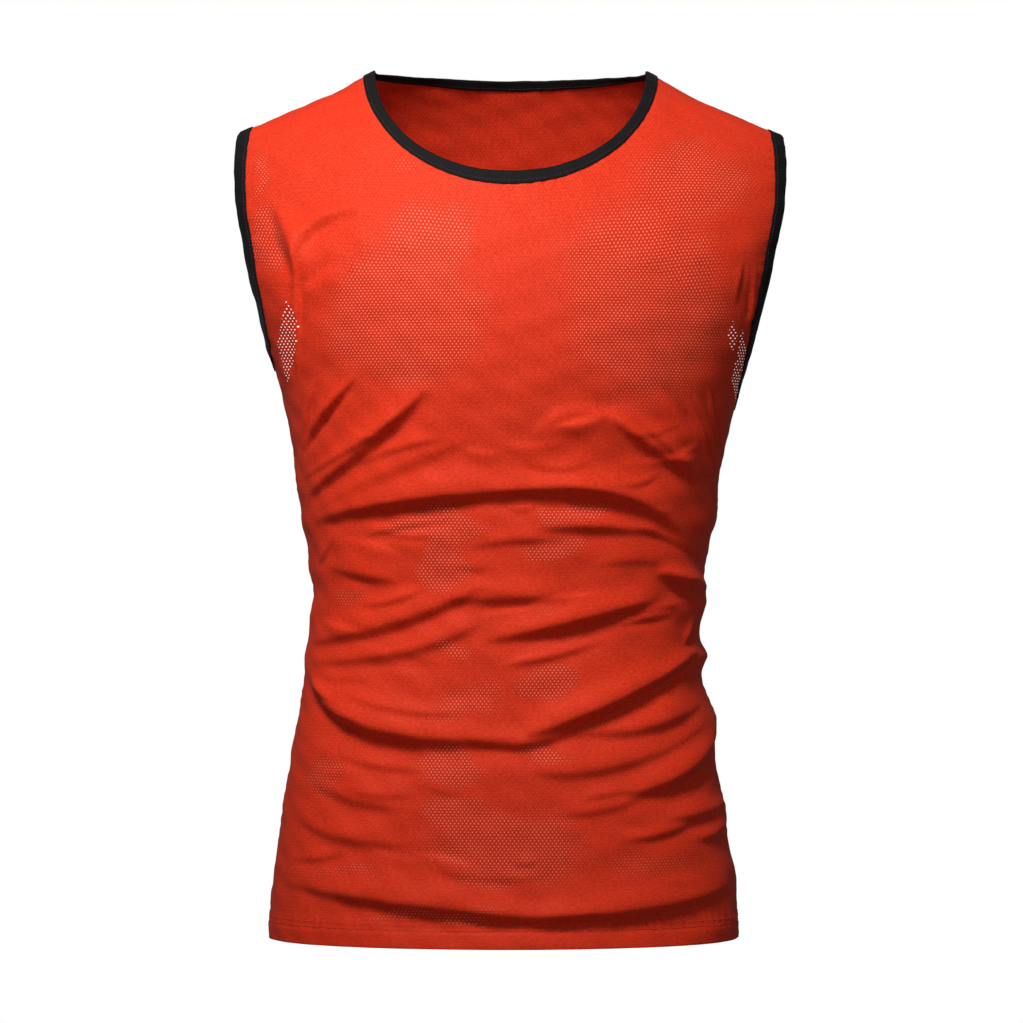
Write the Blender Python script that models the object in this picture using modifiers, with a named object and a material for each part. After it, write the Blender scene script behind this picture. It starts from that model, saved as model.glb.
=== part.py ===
"""Training bib: a sleeveless mesh top, modelled as it hangs filled out with no wearer.

Five cut pieces: a front panel, a back panel, a neck binding and two armhole bindings.
Metres, +Z up. The front faces -Y, and +X is on the right as one looks at the front.
The origin lies midway between the two high shoulder points, where the neck edge
crosses the top of the shoulders.

Every point of a panel has a place on the flat cloth: across (from the centre line,
along the cloth) and down (from the origin's level, along the cloth). The same rule
lays that place on a general figure, and the tables below give the rule its sizes.
"""
import math
from collections import namedtuple

import bmesh
import bpy
import numpy as np
from mathutils import Vector
from mathutils.geometry import delaunay_2d_cdt

FRONT, BACK = -1.0, 1.0      # the side of the body that a panel lies on, along Y
LEFT, RIGHT = -1.0, 1.0      # as seen from the front

# ---- driving dimensions, in metres ------------------------------------------
BODY_LENGTH = 0.690          # high shoulder point down to the hem, as worn
NECK_HALF = 0.1090           # centre to the raw neck edge on top of the shoulder
SHOULDER_TIP = 0.2145        # centre to the raw armhole edge on top of the shoulder
SHOULDER_SLOPE = 0.462       # drop for each metre outward along the shoulder
RIDGE_CENTRE = -0.002        # the shoulders hang this far to the left of the centre line
RAW_EDGE_DROP = 0.0045       # origin's level down to the raw neck edge on the shoulder
NECK_STAND = {LEFT: 0.0026, RIGHT: 0.0040}       # the neck edge stands up on the shoulder
NECK_STAND_REACH = 0.018     # and is level with the shoulder again this far away
FRONT_NECK_DROP = 0.0858     # raw edge on the shoulder down to the front neck edge
BACK_NECK_DROP = 0.0030      # and down to the back neck edge
BACK_NECK_SQUARENESS = 0.5   # below 1 the back neck edge leaves the shoulder squarely
UNDERARM_DROP = {LEFT: 0.2270, RIGHT: 0.2600}    # origin's level to the side seam's top

CLOTH = 0.0015               # wall of the mesh cloth
HEM_CLOTH = 0.0026           # wall where the cloth is turned up double
HEM_DEPTH = 0.020
NECK_TAPE = 0.0078           # how far each leg of the folded tape covers the panel
ARMHOLE_TAPE = 0.0092
BINDING_CLOTH = 0.0010
BAND_MARGIN = 0.0005         # the panel's row of points beside a binding, clear of it
SEAM_GAP = 0.0003            # clear space between two pieces
TAPE_EASE = 0.0004           # clear space between the folded tape and the cloth in it

# ---- how the cloth rolls over the top of the shoulders ----------------------
ROLL_HEIGHT = 0.160          # fall from the shoulder ridge to where the chest is upright
ROLL_CLOTH = 0.205           # cloth used up over that fall
APEX_SOFTNESS = 0.035        # rounds the ridge at the centre line
TIP_SOFTNESS = 0.030         # rounds the end of the slope at the shoulder tip
FULLNESS = 0.85              # below 1 a section is fuller than an ellipse
WORN_EXTRA = ROLL_CLOTH - ROLL_HEIGHT

# ---- the figure's sections: drop below the origin, then inside half sizes ----
Section = namedtuple("Section", "drop left right front back")
SECTIONS = [
    Section(-0.06, 0.2320, 0.2320, 0.0580, 0.0740),
    Section(0.000, 0.2320, 0.2320, 0.0650, 0.0840),
    Section(0.050, 0.2320, 0.2320, 0.0750, 0.0900),
    Section(0.100, 0.2280, 0.2275, 0.0910, 0.0990),
    Section(0.150, 0.2165, 0.2160, 0.1090, 0.1080),
    Section(0.200, 0.2000, 0.2005, 0.1180, 0.1100),
    Section(0.250, 0.1840, 0.1835, 0.1190, 0.1070),
    Section(0.300, 0.1735, 0.1705, 0.1150, 0.1000),
    Section(0.360, 0.1640, 0.1605, 0.1080, 0.0910),
    Section(0.420, 0.1565, 0.1515, 0.1040, 0.0860),
    Section(0.480, 0.1630, 0.1510, 0.1050, 0.0880),
    Section(0.540, 0.1735, 0.1615, 0.1090, 0.0960),
    Section(0.600, 0.1830, 0.1712, 0.1120, 0.1040),
    Section(0.660, 0.1905, 0.1795, 0.1150, 0.1080),
    Section(0.720, 0.1925, 0.1810, 0.1170, 0.1090),
]

# ---- armhole edges: drop, and degrees round the body from its centre line ---
# the drops are those of an underarm at the first row's level, and each side stretches
# them to its own
Turn = namedtuple("Turn", "drop degrees")
FRONT_ARMHOLE = [
    Turn(0.246, 90.0),
    Turn(0.242, 86.5),
    Turn(0.226, 82.5),
    Turn(0.190, 78.0),
    Turn(0.145, 74.2),
    Turn(0.100, 72.5),
]
BACK_ARMHOLE = [
    Turn(0.2460, 90.0),
    Turn(0.2465, 82.0),
    Turn(0.2440, 72.5),
    Turn(0.2330, 65.0),
    Turn(0.2100, 61.5),
    Turn(0.1750, 61.5),
    Turn(0.1350, 65.0),
    Turn(0.1000, 69.5),
]

# ---- folds: three places on the seen panel (x, drop) in mm, then height and width
# trough is +1 where the hollow lies under the ridge and -1 where it lies over it
Fold = namedtuple("Fold", "x0 d0 x1 d1 x2 d2 height width trough")
FRONT_FOLDS = [
    # the fan from the left underarm
    Fold(-164, 302, -148, 270, -122, 246, 3.5, 8, 1),
    Fold(-160, 338, -112, 292, -66, 252, 8.5, 12, 1),
    Fold(-155, 346, -100, 312, -24, 288, 3.5, 16, 1),
    # the fan from the right underarm
    Fold(76, 270, 110, 294, 150, 324, 7.0, 11, 1),
    Fold(112, 254, 136, 290, 155, 322, 4.0, 8, -1),
    Fold(142, 260, 154, 286, 162, 312, 3.0, 7, -1),
    Fold(20, 296, 58, 282, 106, 304, 4.0, 15, -1),
    # the long swag across the top of the waist
    Fold(-154, 356, -80, 334, 38, 328, 10.0, 15, 1),
    Fold(10, 330, 88, 332, 142, 376, 9.0, 13, 1),
    Fold(18, 362, 70, 357, 118, 366, 5.0, 11, 1),
    # short swags from the left side
    Fold(-142, 392, -112, 394, -82, 404, 4.0, 12, 1),
    Fold(-156, 452, -94, 432, -22, 405, 7.0, 13, 1),
    Fold(-156, 467, -86, 454, -24, 434, 5.0, 12, 1),
    Fold(-54, 416, 0, 411, 50, 414, 5.0, 13, 1),
    # swags from the right side
    Fold(-24, 449, 48, 430, 118, 414, 8.5, 13, 1),
    Fold(114, 396, 138, 404, 154, 413, 5.0, 9, 1),
    # the two long swags that meet under the waist
    Fold(-157, 473, -106, 512, 8, 522, 11.5, 17, 1),
    Fold(8, 521, 70, 496, 142, 457, 11.0, 15, 1),
    Fold(50, 518, 102, 514, 148, 499, 5.0, 12, 1),
    Fold(14, 549, 80, 543, 150, 515, 3.5, 12, 1),
    Fold(88, 568, 134, 550, 159, 516, 8.5, 13, 1),
    # low folds on the left and right of the skirt
    Fold(-155, 562, -118, 570, -80, 580, 3.5, 12, 1),
    Fold(-166, 590, -126, 600, -74, 606, 3.5, 12, 1),
    Fold(122, 588, 150, 584, 170, 577, 3.5, 9, 1),
    Fold(142, 606, 162, 600, 172, 592, 3.5, 9, 1),
    # the fold that hangs over the hem
    Fold(-178, 638, -66, 650, 20, 660, 8.5, 15, 1),
    Fold(8, 660, 92, 654, 174, 641, 8.5, 15, 1),
    # the hollow that runs down beside the left armhole
    Fold(-186, 110, -166, 134, -163, 176, 5.0, 15, 1),
]
BACK_FOLDS = [
    Fold(-158, 296, -128, 268, -92, 252, 5.0, 11, 1),
    Fold(-156, 330, -104, 296, -50, 274, 6.0, 13, 1),
    Fold(86, 262, 122, 286, 154, 318, 6.0, 12, 1),
    Fold(60, 290, 104, 306, 150, 340, 4.0, 12, 1),
    Fold(-150, 366, -70, 346, 30, 340, 8.5, 15, 1),
    Fold(0, 342, 74, 344, 138, 372, 7.0, 14, 1),
    Fold(-146, 402, -84, 392, -18, 396, 6.0, 13, 1),
    Fold(-10, 402, 62, 390, 134, 402, 6.5, 13, 1),
    Fold(-148, 440, -64, 434, 24, 420, 7.0, 14, 1),
    Fold(20, 448, 84, 440, 142, 424, 6.0, 12, 1),
    Fold(-152, 478, -80, 484, 10, 476, 6.0, 14, 1),
    Fold(-4, 494, 72, 484, 140, 462, 8.0, 15, 1),
    Fold(-156, 512, -96, 528, -14, 532, 7.0, 15, 1),
    Fold(20, 536, 90, 528, 148, 500, 5.0, 13, 1),
    Fold(-162, 566, -110, 574, -46, 574, 4.0, 13, 1),
    Fold(46, 580, 108, 572, 158, 552, 4.0, 13, 1),
    Fold(-166, 622, -60, 632, 54, 636, 6.0, 15, 1),
    Fold(40, 628, 108, 624, 168, 610, 5.0, 14, 1),
    Fold(-48, 120, -70, 170, -76, 226, 3.0, 20, 1),
    Fold(52, 116, 76, 166, 84, 224, 3.0, 20, -1),
]
CREST_ABOVE = 1.20           # widths of a fold's profile, in shares of its own width
CREST_BELOW = 0.58
TROUGH_AT = 1.25
TROUGH_WIDTH = 0.66
TROUGH_DEPTH = 0.75          # in shares of the fold's height
FOLD_TAPER = 0.8             # below 1 a fold keeps its height nearer to its two ends
FOLD_STEPS = 16
SIDE_FADE = 0.040            # folds die out over this much cloth before a side seam

# ---- bulges of the side seams: drop and half length in mm, then how far out --
Bulge = namedtuple("Bulge", "drop reach out")
LEFT_BULGES = [
    Bulge(328, 14, 2.2),
    Bulge(360, 16, 1.6),
    Bulge(396, 10, 2.2),
    Bulge(434, 13, 2.6),
    Bulge(466, 13, 3.0),
]
RIGHT_BULGES = [
    Bulge(356, 14, 3.4),
    Bulge(421, 13, 4.6),
    Bulge(466, 9, 6.4),
    Bulge(515, 20, 6.6),
    Bulge(590, 12, 2.0),
    Bulge(640, 12, 2.4),
]
BULGE_REACH_IN = 0.045       # how far in from the seam a bulge still lifts the cloth

# ---- spacing of the points that the cloth is built on -----------------------
COLUMN_STEP = 0.020
EDGE_STEP = 0.0105
SHOULDER_STEP = 0.0136
HEM_STEP = 0.020
Band = namedtuple("Band", "top bottom step")
ROW_BANDS = [
    Band(0.00, 0.31, 0.0160),
    Band(0.31, 0.71, 0.0088),
    Band(0.71, 0.80, 0.0110),
]
CLEAR_OF_EDGE = 0.0060       # a lattice point keeps this far from the outline
CLEAR_OF_CORNER = 0.0042     # and a side seam point this far from the binding's row
HEM_TOLERANCE = 0.0026       # a point this near the hem's stitching counts as hem
ON_LINE = 1e-5               # a point this near a line counts as on it
SAME_POINT = 1e-6            # two points closer than this are one

# ---- how finely the curves are worked out ------------------------------------
ARC_STEPS = 40
LINE_STEPS = 60
SETTLE_ROUNDS = 6
PROBE = 0.0008               # half the cloth over which a slope is measured

COLLECTION = "training_bib"

# ---- materials: linear colour, then roughness --------------------------------
Finish = namedtuple("Finish", "red green blue roughness")
RED_MESH = Finish(0.72, 0.035, 0.012, 0.62)
BLACK_TAPE = Finish(0.012, 0.009, 0.010, 0.70)


# ---- small mathematical helpers ---------------------------------------------
def smooth_lookup(places, values, wanted):
    """A smooth curve through a short table, read at the wanted places."""
    places = np.asarray(places, float)
    values = np.asarray(values, float)
    slopes = np.gradient(values, places)
    i = np.clip(np.searchsorted(places, wanted) - 1, 0, len(places) - 2)
    step = places[i + 1] - places[i]
    t = np.clip((wanted - places[i]) / step, 0.0, 1.0)
    rise = values[i + 1] - values[i]
    bend = t * t * (3.0 - 2.0 * t)
    ease_in = t * (1.0 - t) ** 2 * slopes[i]
    ease_out = t * t * (1.0 - t) * slopes[i + 1]
    return values[i] + rise * bend + step * (ease_in - ease_out)


def smooth_step(value):
    t = np.clip(value, 0.0, 1.0)
    return t * t * (3.0 - 2.0 * t)


def even_stations(points, step):
    """Points an even distance apart along a polyline, both ends kept."""
    points = np.asarray(points, float)
    lengths = np.hypot(*np.diff(points, axis=0).T)
    along = np.concatenate([[0.0], np.cumsum(lengths)])
    count = max(2, round(along[-1] / step) + 1)
    wanted = np.linspace(0.0, along[-1], count)
    columns = [np.interp(wanted, along, points[:, k]) for k in range(points.shape[1])]
    return np.stack(columns, axis=1)


# ---- the figure that the cloth lies on ---------------------------------------
def section_sizes(face, across, drop):
    """Half breadth and depth of the figure at a drop, for each point's own side."""
    drops = [row.drop for row in SECTIONS]
    left = smooth_lookup(drops, [row.left for row in SECTIONS], drop)
    right = smooth_lookup(drops, [row.right for row in SECTIONS], drop)
    depths = [row.front if face == FRONT else row.back for row in SECTIONS]
    return np.where(across < 0.0, left, right), smooth_lookup(drops, depths, drop)


def ridge_height(across):
    """Height of the shoulder ridge over a place across the cloth."""
    inner = np.sqrt((across - RIDGE_CENTRE) ** 2 + APEX_SOFTNESS ** 2)
    past_tip = np.abs(across) - SHOULDER_TIP - TIP_SOFTNESS
    outer = (past_tip + np.sqrt(past_tip ** 2 + TIP_SOFTNESS ** 2)) / 2.0
    start = math.hypot(NECK_HALF, APEX_SOFTNESS)
    from_neck = (np.abs(across) - NECK_HALF) / NECK_STAND_REACH
    stand = np.where(across < 0.0, NECK_STAND[LEFT], NECK_STAND[RIGHT])
    stand = stand * np.exp(-(from_neck ** 2))
    return stand - RAW_EDGE_DROP - SHOULDER_SLOPE * (inner - start - outer)


def roll_at(cloth_down):
    """Fall below the ridge, and share of full depth, after some cloth below the ridge."""
    angle = math.pi / 2.0 * np.clip(cloth_down / ROLL_CLOTH, 0.0, 1.0)
    straight = np.maximum(cloth_down - ROLL_CLOTH, 0.0)
    fall = ROLL_HEIGHT * (1.0 - np.cos(angle)) + straight
    return fall, np.sin(angle)


def arc_table(half, depth):
    """Angles round a quarter section, and the cloth used up to each of them."""
    angles = np.linspace(0.0, math.pi / 2.0, ARC_STEPS + 1)
    x = half[:, None] * np.sin(angles)
    y = depth[:, None] * np.cos(angles).clip(0.0) ** FULLNESS
    steps = np.hypot(np.diff(x, axis=1), np.diff(y, axis=1))
    used = np.concatenate([np.zeros((len(half), 1)), np.cumsum(steps, axis=1)], axis=1)
    return angles, used


def angle_after(cloth, half, depth):
    """The angle round the section that a length of cloth reaches from its middle."""
    angles, used = arc_table(half, depth)
    i = np.clip((used < cloth[:, None]).sum(axis=1) - 1, 0, len(angles) - 2)
    row = np.arange(len(cloth))
    share = (cloth - used[row, i]) / (used[row, i + 1] - used[row, i])
    return angles[i] + np.clip(share, 0.0, 1.0) * (angles[i + 1] - angles[i])


def bare_form(face, across, down):
    """Lay places of the flat cloth on the figure, without any fold."""
    ridge = ridge_height(across)
    fall, roll = roll_at(down + ridge)
    z = ridge - fall
    half, depth = section_sizes(face, across, -z)
    angle = angle_after(np.abs(across), half, depth * roll)
    x = np.sign(across) * half * np.sin(angle)
    y = face * depth * roll * np.cos(angle).clip(0.0) ** FULLNESS
    return np.stack([x, y, z], axis=1)


def cloth_place(face, side, degrees, drop):
    """The flat place (across, down) of a point given by its turn round the body."""
    angle = np.radians(np.atleast_1d(degrees).astype(float))
    z = -np.atleast_1d(drop).astype(float)
    half, depth = section_sizes(face, np.full_like(z, side), -z)
    across = half * np.sin(angle)
    for _ in range(SETTLE_ROUNDS):
        ridge = ridge_height(across)
        fall = np.maximum(ridge - z, 0.0)
        cosine = np.clip(1.0 - fall / ROLL_HEIGHT, 0.0, 1.0)
        cloth = np.arccos(cosine) * 2.0 / math.pi * ROLL_CLOTH
        cloth = cloth + np.maximum(fall - ROLL_HEIGHT, 0.0)
        _, roll = roll_at(cloth)
        angles, used = arc_table(half, depth * roll)
        across = np.array([np.interp(a, angles, row) for a, row in zip(angle, used)])
    return side * across, cloth - ridge


def place_of_x(face, x, drop):
    """The same for a point given by how far it is seen from the centre line."""
    side = LEFT if x < 0.0 else RIGHT
    half, _ = section_sizes(face, np.array([side]), np.array([drop]))
    degrees = math.degrees(math.asin(min(1.0, abs(x) / half[0])))
    across, down = cloth_place(face, side, degrees, drop)
    return across[0], down[0]


def form_normals(face, across, down):
    """Unit normals of the bare form, pointing out of the body."""
    along_x = bare_form(face, across + PROBE, down) - bare_form(face, across - PROBE, down)
    along_z = bare_form(face, across, down + PROBE) - bare_form(face, across, down - PROBE)
    normals = face * np.cross(along_x, along_z)
    return normals / np.linalg.norm(normals, axis=1, keepdims=True)


# ---- folds -------------------------------------------------------------------
def fold_path(face, fold):
    """A curve through the fold's three places, in (cloth across, height)."""
    places = []
    for x, drop in ((fold.x0, fold.d0), (fold.x1, fold.d1), (fold.x2, fold.d2)):
        across, _ = place_of_x(face, x / 1000.0, drop / 1000.0)
        places.append(np.array([across, -drop / 1000.0]))
    start, middle, end = places
    control = 2.0 * middle - (start + end) / 2.0
    t = np.linspace(0.0, 1.0, FOLD_STEPS + 1)[:, None]
    return (1 - t) ** 2 * start + 2 * t * (1 - t) * control + t * t * end


def path_distance(points, path):
    """Signed distance to a path (+ above it), and the share of the path passed."""
    starts, spans = path[:-1], np.diff(path, axis=0)
    offset = points[:, None, :] - starts
    share = np.einsum("nsk,sk->ns", offset, spans) / (spans ** 2).sum(axis=1)
    share = np.clip(share, 0.0, 1.0)
    gap = offset - share[:, :, None] * spans
    reach = np.hypot(gap[:, :, 0], gap[:, :, 1])
    nearest = reach.argmin(axis=1)
    row = np.arange(len(points))
    towards_right = np.where(spans[:, 0] < 0.0, -1.0, 1.0)[nearest]
    near_span, near_gap = spans[nearest], gap[row, nearest]
    turn = near_span[:, 0] * near_gap[:, 1] - near_span[:, 1] * near_gap[:, 0]
    passed = (nearest + share[row, nearest]) / len(spans)
    return reach[row, nearest] * np.sign(turn) * towards_right, passed


def fold_relief(face, across, heights):
    """How far the folds of one panel lift each point off the bare form."""
    points = np.stack([across, heights], axis=1)
    relief = np.zeros(len(points))
    for fold in FRONT_FOLDS if face == FRONT else BACK_FOLDS:
        distance, passed = path_distance(points, fold_path(face, fold))
        u = fold.trough * distance / (fold.width / 1000.0)
        crest_width = np.where(u > 0.0, CREST_ABOVE, CREST_BELOW)
        crest = np.exp(-((u / crest_width) ** 2))
        trough = TROUGH_DEPTH * np.exp(-(((u + TROUGH_AT) / TROUGH_WIDTH) ** 2))
        taper = np.sin(math.pi * passed) ** FOLD_TAPER
        relief += fold.height / 1000.0 * taper * (crest - trough)
    return relief


def bulge_relief(across, heights):
    """How far the puckered side seams stand out, the same on front and back."""
    relief = np.zeros(len(across))
    for side, rows in ((LEFT, LEFT_BULGES), (RIGHT, RIGHT_BULGES)):
        for bulge in rows:
            away = (heights + bulge.drop / 1000.0) / (bulge.reach / 1000.0)
            lift = bulge.out / 1000.0 * np.exp(-(away ** 2))
            relief += np.where(across * side > 0.0, lift, 0.0)
    return relief


def worn_form(face, across, down):
    """Lay places of the flat cloth on the figure, folds and bulges included."""
    across, down = np.atleast_1d(across), np.atleast_1d(down)
    bare = bare_form(face, across, down)
    heights = bare[:, 2]
    half, depth = section_sizes(face, across, -heights)
    _, roll = roll_at(down + ridge_height(across))
    _, used = arc_table(half, depth * roll)
    to_seam = np.maximum(used[:, -1] - np.abs(across), 0.0)
    relief = fold_relief(face, across, heights) * smooth_step(to_seam / SIDE_FADE)
    near_seam = np.exp(-((to_seam / BULGE_REACH_IN) ** 2))
    relief += bulge_relief(across, heights) * near_seam
    relief -= (HEM_CLOTH - CLOTH) * hem_share(down)
    return bare + relief[:, None] * form_normals(face, across, down)


def hem_share(down):
    """1 on the turned-up hem, 0 above it."""
    top_of_hem = BODY_LENGTH + WORN_EXTRA - HEM_DEPTH
    return np.where(down > top_of_hem - HEM_TOLERANCE, 1.0, 0.0)


# ---- outlines of the cut panels ------------------------------------------------
def armhole_line(face, side):
    """The raw armhole edge from the side seam up to the shoulder tip."""
    rows = FRONT_ARMHOLE if face == FRONT else BACK_ARMHOLE
    stops = np.arange(len(rows), dtype=float)
    fine = np.linspace(0.0, stops[-1], LINE_STEPS + 1)
    lowest, highest = rows[0].drop, rows[-1].drop
    stretch = (UNDERARM_DROP[side] - highest) / (lowest - highest)
    drops = smooth_lookup(stops, [row.drop for row in rows], fine)
    drops = highest + (drops - highest) * stretch
    degrees = smooth_lookup(stops, [row.degrees for row in rows], fine)
    across, down = cloth_place(face, side, degrees, drops)
    places = np.stack([across, down], axis=1)
    return even_stations(np.vstack([places, shoulder_point(side, SHOULDER_TIP)]), EDGE_STEP)


def neck_line(face):
    """The raw neck edge from the right shoulder round to the left one."""
    depth = FRONT_NECK_DROP if face == FRONT else BACK_NECK_DROP
    squareness = 1.0 if face == FRONT else BACK_NECK_SQUARENESS
    right_end, left_end = shoulder_point(RIGHT, NECK_HALF), shoulder_point(LEFT, NECK_HALF)
    places = [right_end]
    for angle in np.linspace(0.0, math.pi, LINE_STEPS + 1)[1:-1]:
        share = (1.0 - math.cos(angle)) / 2.0
        level = right_end[1] + (left_end[1] - right_end[1]) * share
        drop = level + depth * math.sin(angle) ** squareness
        places.append(place_of_x(face, NECK_HALF * math.cos(angle), drop))
    places.append(left_end)
    return even_stations(places, EDGE_STEP)


def side_line(face, side):
    """The side seam's line from the hem up to the underarm."""
    drops = np.linspace(BODY_LENGTH, UNDERARM_DROP[side], LINE_STEPS + 1)
    across, down = cloth_place(face, side, np.full(len(drops), 90.0), drops)
    return even_stations(np.stack([across, down], axis=1), EDGE_STEP)


def inward_mates(line, turn, width):
    """For each station of an edge line, its mate a binding's width into the panel.

    turn is +1 where the panel lies on the left of the line as drawn, -1 on its right.
    """
    direction = np.gradient(line, axis=0)
    sideways = np.stack([-direction[:, 1], direction[:, 0]], axis=1)
    sideways /= np.linalg.norm(sideways, axis=1, keepdims=True)
    return line + turn * sideways * width


def shoulder_point(side, across):
    """A place on the shoulder seam."""
    return np.array([side * across, -float(ridge_height(side * across))])


class Pattern:
    """One flat panel: its outline, the rows beside the bound edges, its hem row."""

    def __init__(self, face):
        self.face = face
        neck_band, band = NECK_TAPE + BAND_MARGIN, ARMHOLE_TAPE + BAND_MARGIN
        self.neck = neck_line(face)
        self.neck_mates = inward_mates(self.neck, -1.0, neck_band)
        self.neck_mates[0] = shoulder_point(RIGHT, NECK_HALF + neck_band)
        self.neck_mates[-1] = shoulder_point(LEFT, NECK_HALF + neck_band)
        self.armholes, self.armhole_mates, self.sides = {}, {}, {}
        for side in (LEFT, RIGHT):
            line = armhole_line(face, side)
            mates = inward_mates(line, -side, band)
            mates[-1] = shoulder_point(side, SHOULDER_TIP - band)
            self.sides[side] = side_line(face, side)
            mates[0] = side_place(face, side, line[0, 1] + band)
            self.armholes[side], self.armhole_mates[side] = line, mates
        ends = (NECK_HALF + neck_band, SHOULDER_TIP - band)
        self.shoulder = np.linspace(*ends, round((ends[1] - ends[0]) / SHOULDER_STEP) + 1)

    def shoulder_line(self, side):
        """Shoulder seam stations from the neck binding out to the armhole binding."""
        return np.array([shoulder_point(side, across) for across in self.shoulder])

    def outline(self):
        """The closed outline, from the hem's left end, all in one order."""
        hem_down = BODY_LENGTH + WORN_EXTRA
        right, left = self.sides[RIGHT], self.sides[LEFT]
        count = round((right[0, 0] - left[0, 0]) / HEM_STEP) + 1
        hem = np.linspace(left[0, 0], right[0, 0], count)
        hem = np.stack([hem, np.full(count, hem_down)], axis=1)
        stretches = [
            hem,
            self.side_below_band(RIGHT)[1:],
            self.armholes[RIGHT],
            self.shoulder_line(RIGHT)[::-1],
            self.neck,
            self.shoulder_line(LEFT),
            self.armholes[LEFT][::-1],
            self.side_below_band(LEFT)[::-1][:-1],
        ]
        return np.vstack(stretches)

    def side_below_band(self, side):
        """Side seam stations up to the row beside the armhole binding."""
        line, mate = self.sides[side], self.armhole_mates[side][0]
        kept = line[line[:, 1] > mate[1] + CLEAR_OF_CORNER]
        across, _ = side_place(self.face, side, mate[1])
        return np.vstack([kept, [across, mate[1]]])

    def hem_row(self):
        """The line of the hem's stitching, where the double cloth ends."""
        down = BODY_LENGTH + WORN_EXTRA - HEM_DEPTH
        left, _ = side_place(self.face, LEFT, down)
        right, _ = side_place(self.face, RIGHT, down)
        count = round((right - left) / HEM_STEP) + 1
        row = np.linspace(left, right, count)[1:-1]
        return np.stack([row, np.full(len(row), down)], axis=1)


def side_place(face, side, down):
    """The side seam's place at one distance down the cloth."""
    across, down = cloth_place(face, side, 90.0, down - WORN_EXTRA)
    return across[0], down[0]


# ---- flat triangles ------------------------------------------------------------
def inside(points, outline):
    """Which points lie inside a closed outline."""
    x, y = points[:, 0][:, None], points[:, 1][:, None]
    x0, y0 = outline[:, 0], outline[:, 1]
    x1, y1 = np.roll(x0, -1), np.roll(y0, -1)
    level = (y0 > y) != (y1 > y)
    run = np.where(y1 == y0, SAME_POINT, y1 - y0)
    crossing = x < (x1 - x0) * (y - y0) / run + x0
    return (level & crossing).sum(axis=1) % 2 == 1


def clear_of(points, lines, distance):
    """Which points keep a distance from every line's stations and their joins."""
    keep = np.ones(len(points), bool)
    for line in lines:
        reach, _ = path_distance(points, line)
        keep &= np.abs(reach) > distance
    return keep


def lattice(outline):
    """Staggered points over the whole panel, rows closer where the folds are."""
    rows = []
    for band in ROW_BANDS:
        rows.extend(np.arange(band.top, band.bottom, band.step))
    points = []
    reach = np.abs(outline[:, 0]).max()
    for number, down in enumerate(rows):
        shift = COLUMN_STEP / 2.0 * (number % 2)
        steps = int(reach / COLUMN_STEP) + 1
        columns = np.arange(-steps, steps + 1) * COLUMN_STEP + shift
        points.append(np.stack([columns, np.full(len(columns), down)], axis=1))
    return np.vstack(points)


def triangles_of(pattern):
    """Points and triangles of one flat panel."""
    outline = pattern.outline()
    bands = [pattern.neck_mates, pattern.hem_row()]
    bands += [pattern.armhole_mates[side][1:] for side in (LEFT, RIGHT)]
    loose = lattice(outline)
    closed = np.vstack([outline, outline[:1]])
    loose = loose[inside(loose, outline)]
    loose = loose[clear_of(loose, [closed] + bands, CLEAR_OF_EDGE)]
    points = [outline]
    edges = []
    start = len(outline)
    for band in bands:
        points.append(band)
        edges += [(start + i, start + i + 1) for i in range(len(band) - 1)]
        start += len(band)
    points.append(loose)
    points = np.vstack(points)
    result = delaunay_2d_cdt(
        [Vector(p) for p in points], edges, [list(range(len(outline)))], 1, SAME_POINT
    )
    flat = np.array([tuple(p) for p in result[0]])
    faces = [list(face) for face in result[2]]
    centres = np.array([flat[face].mean(axis=0) for face in faces])
    kept = inside(centres, outline)
    return flat, [face for face, keep in zip(faces, kept) if keep]


# ---- the pieces -------------------------------------------------------------------
def new_object(name, mesh, finish, collection):
    """An object with a plain material of its own, in the given collection."""
    material = bpy.data.materials.new(name + "_cloth")
    material.use_nodes = True
    shader = material.node_tree.nodes["Principled BSDF"]
    colour = (finish.red, finish.green, finish.blue, 1.0)
    shader.inputs["Base Color"].default_value = colour
    shader.inputs["Roughness"].default_value = finish.roughness
    material.diffuse_color = colour
    mesh.materials.append(material)
    obj = bpy.data.objects.new(name, mesh)
    collection.objects.link(obj)
    return obj


def trim_to_seams(face, flat, pattern):
    """Draw the seam edges back by half the gap, so that the panels don't touch."""
    trimmed = flat.copy()
    for side in (LEFT, RIGHT):
        seam = np.vstack([pattern.side_below_band(side), pattern.armholes[side][0]])
        reach, _ = path_distance(flat, seam)
        trimmed[np.abs(reach) < ON_LINE, 0] -= side * SEAM_GAP / 2.0
    on_ridge = np.abs(flat[:, 1] + ridge_height(flat[:, 0])) < ON_LINE
    trimmed[on_ridge, 1] += SEAM_GAP / 2.0
    return trimmed


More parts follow.
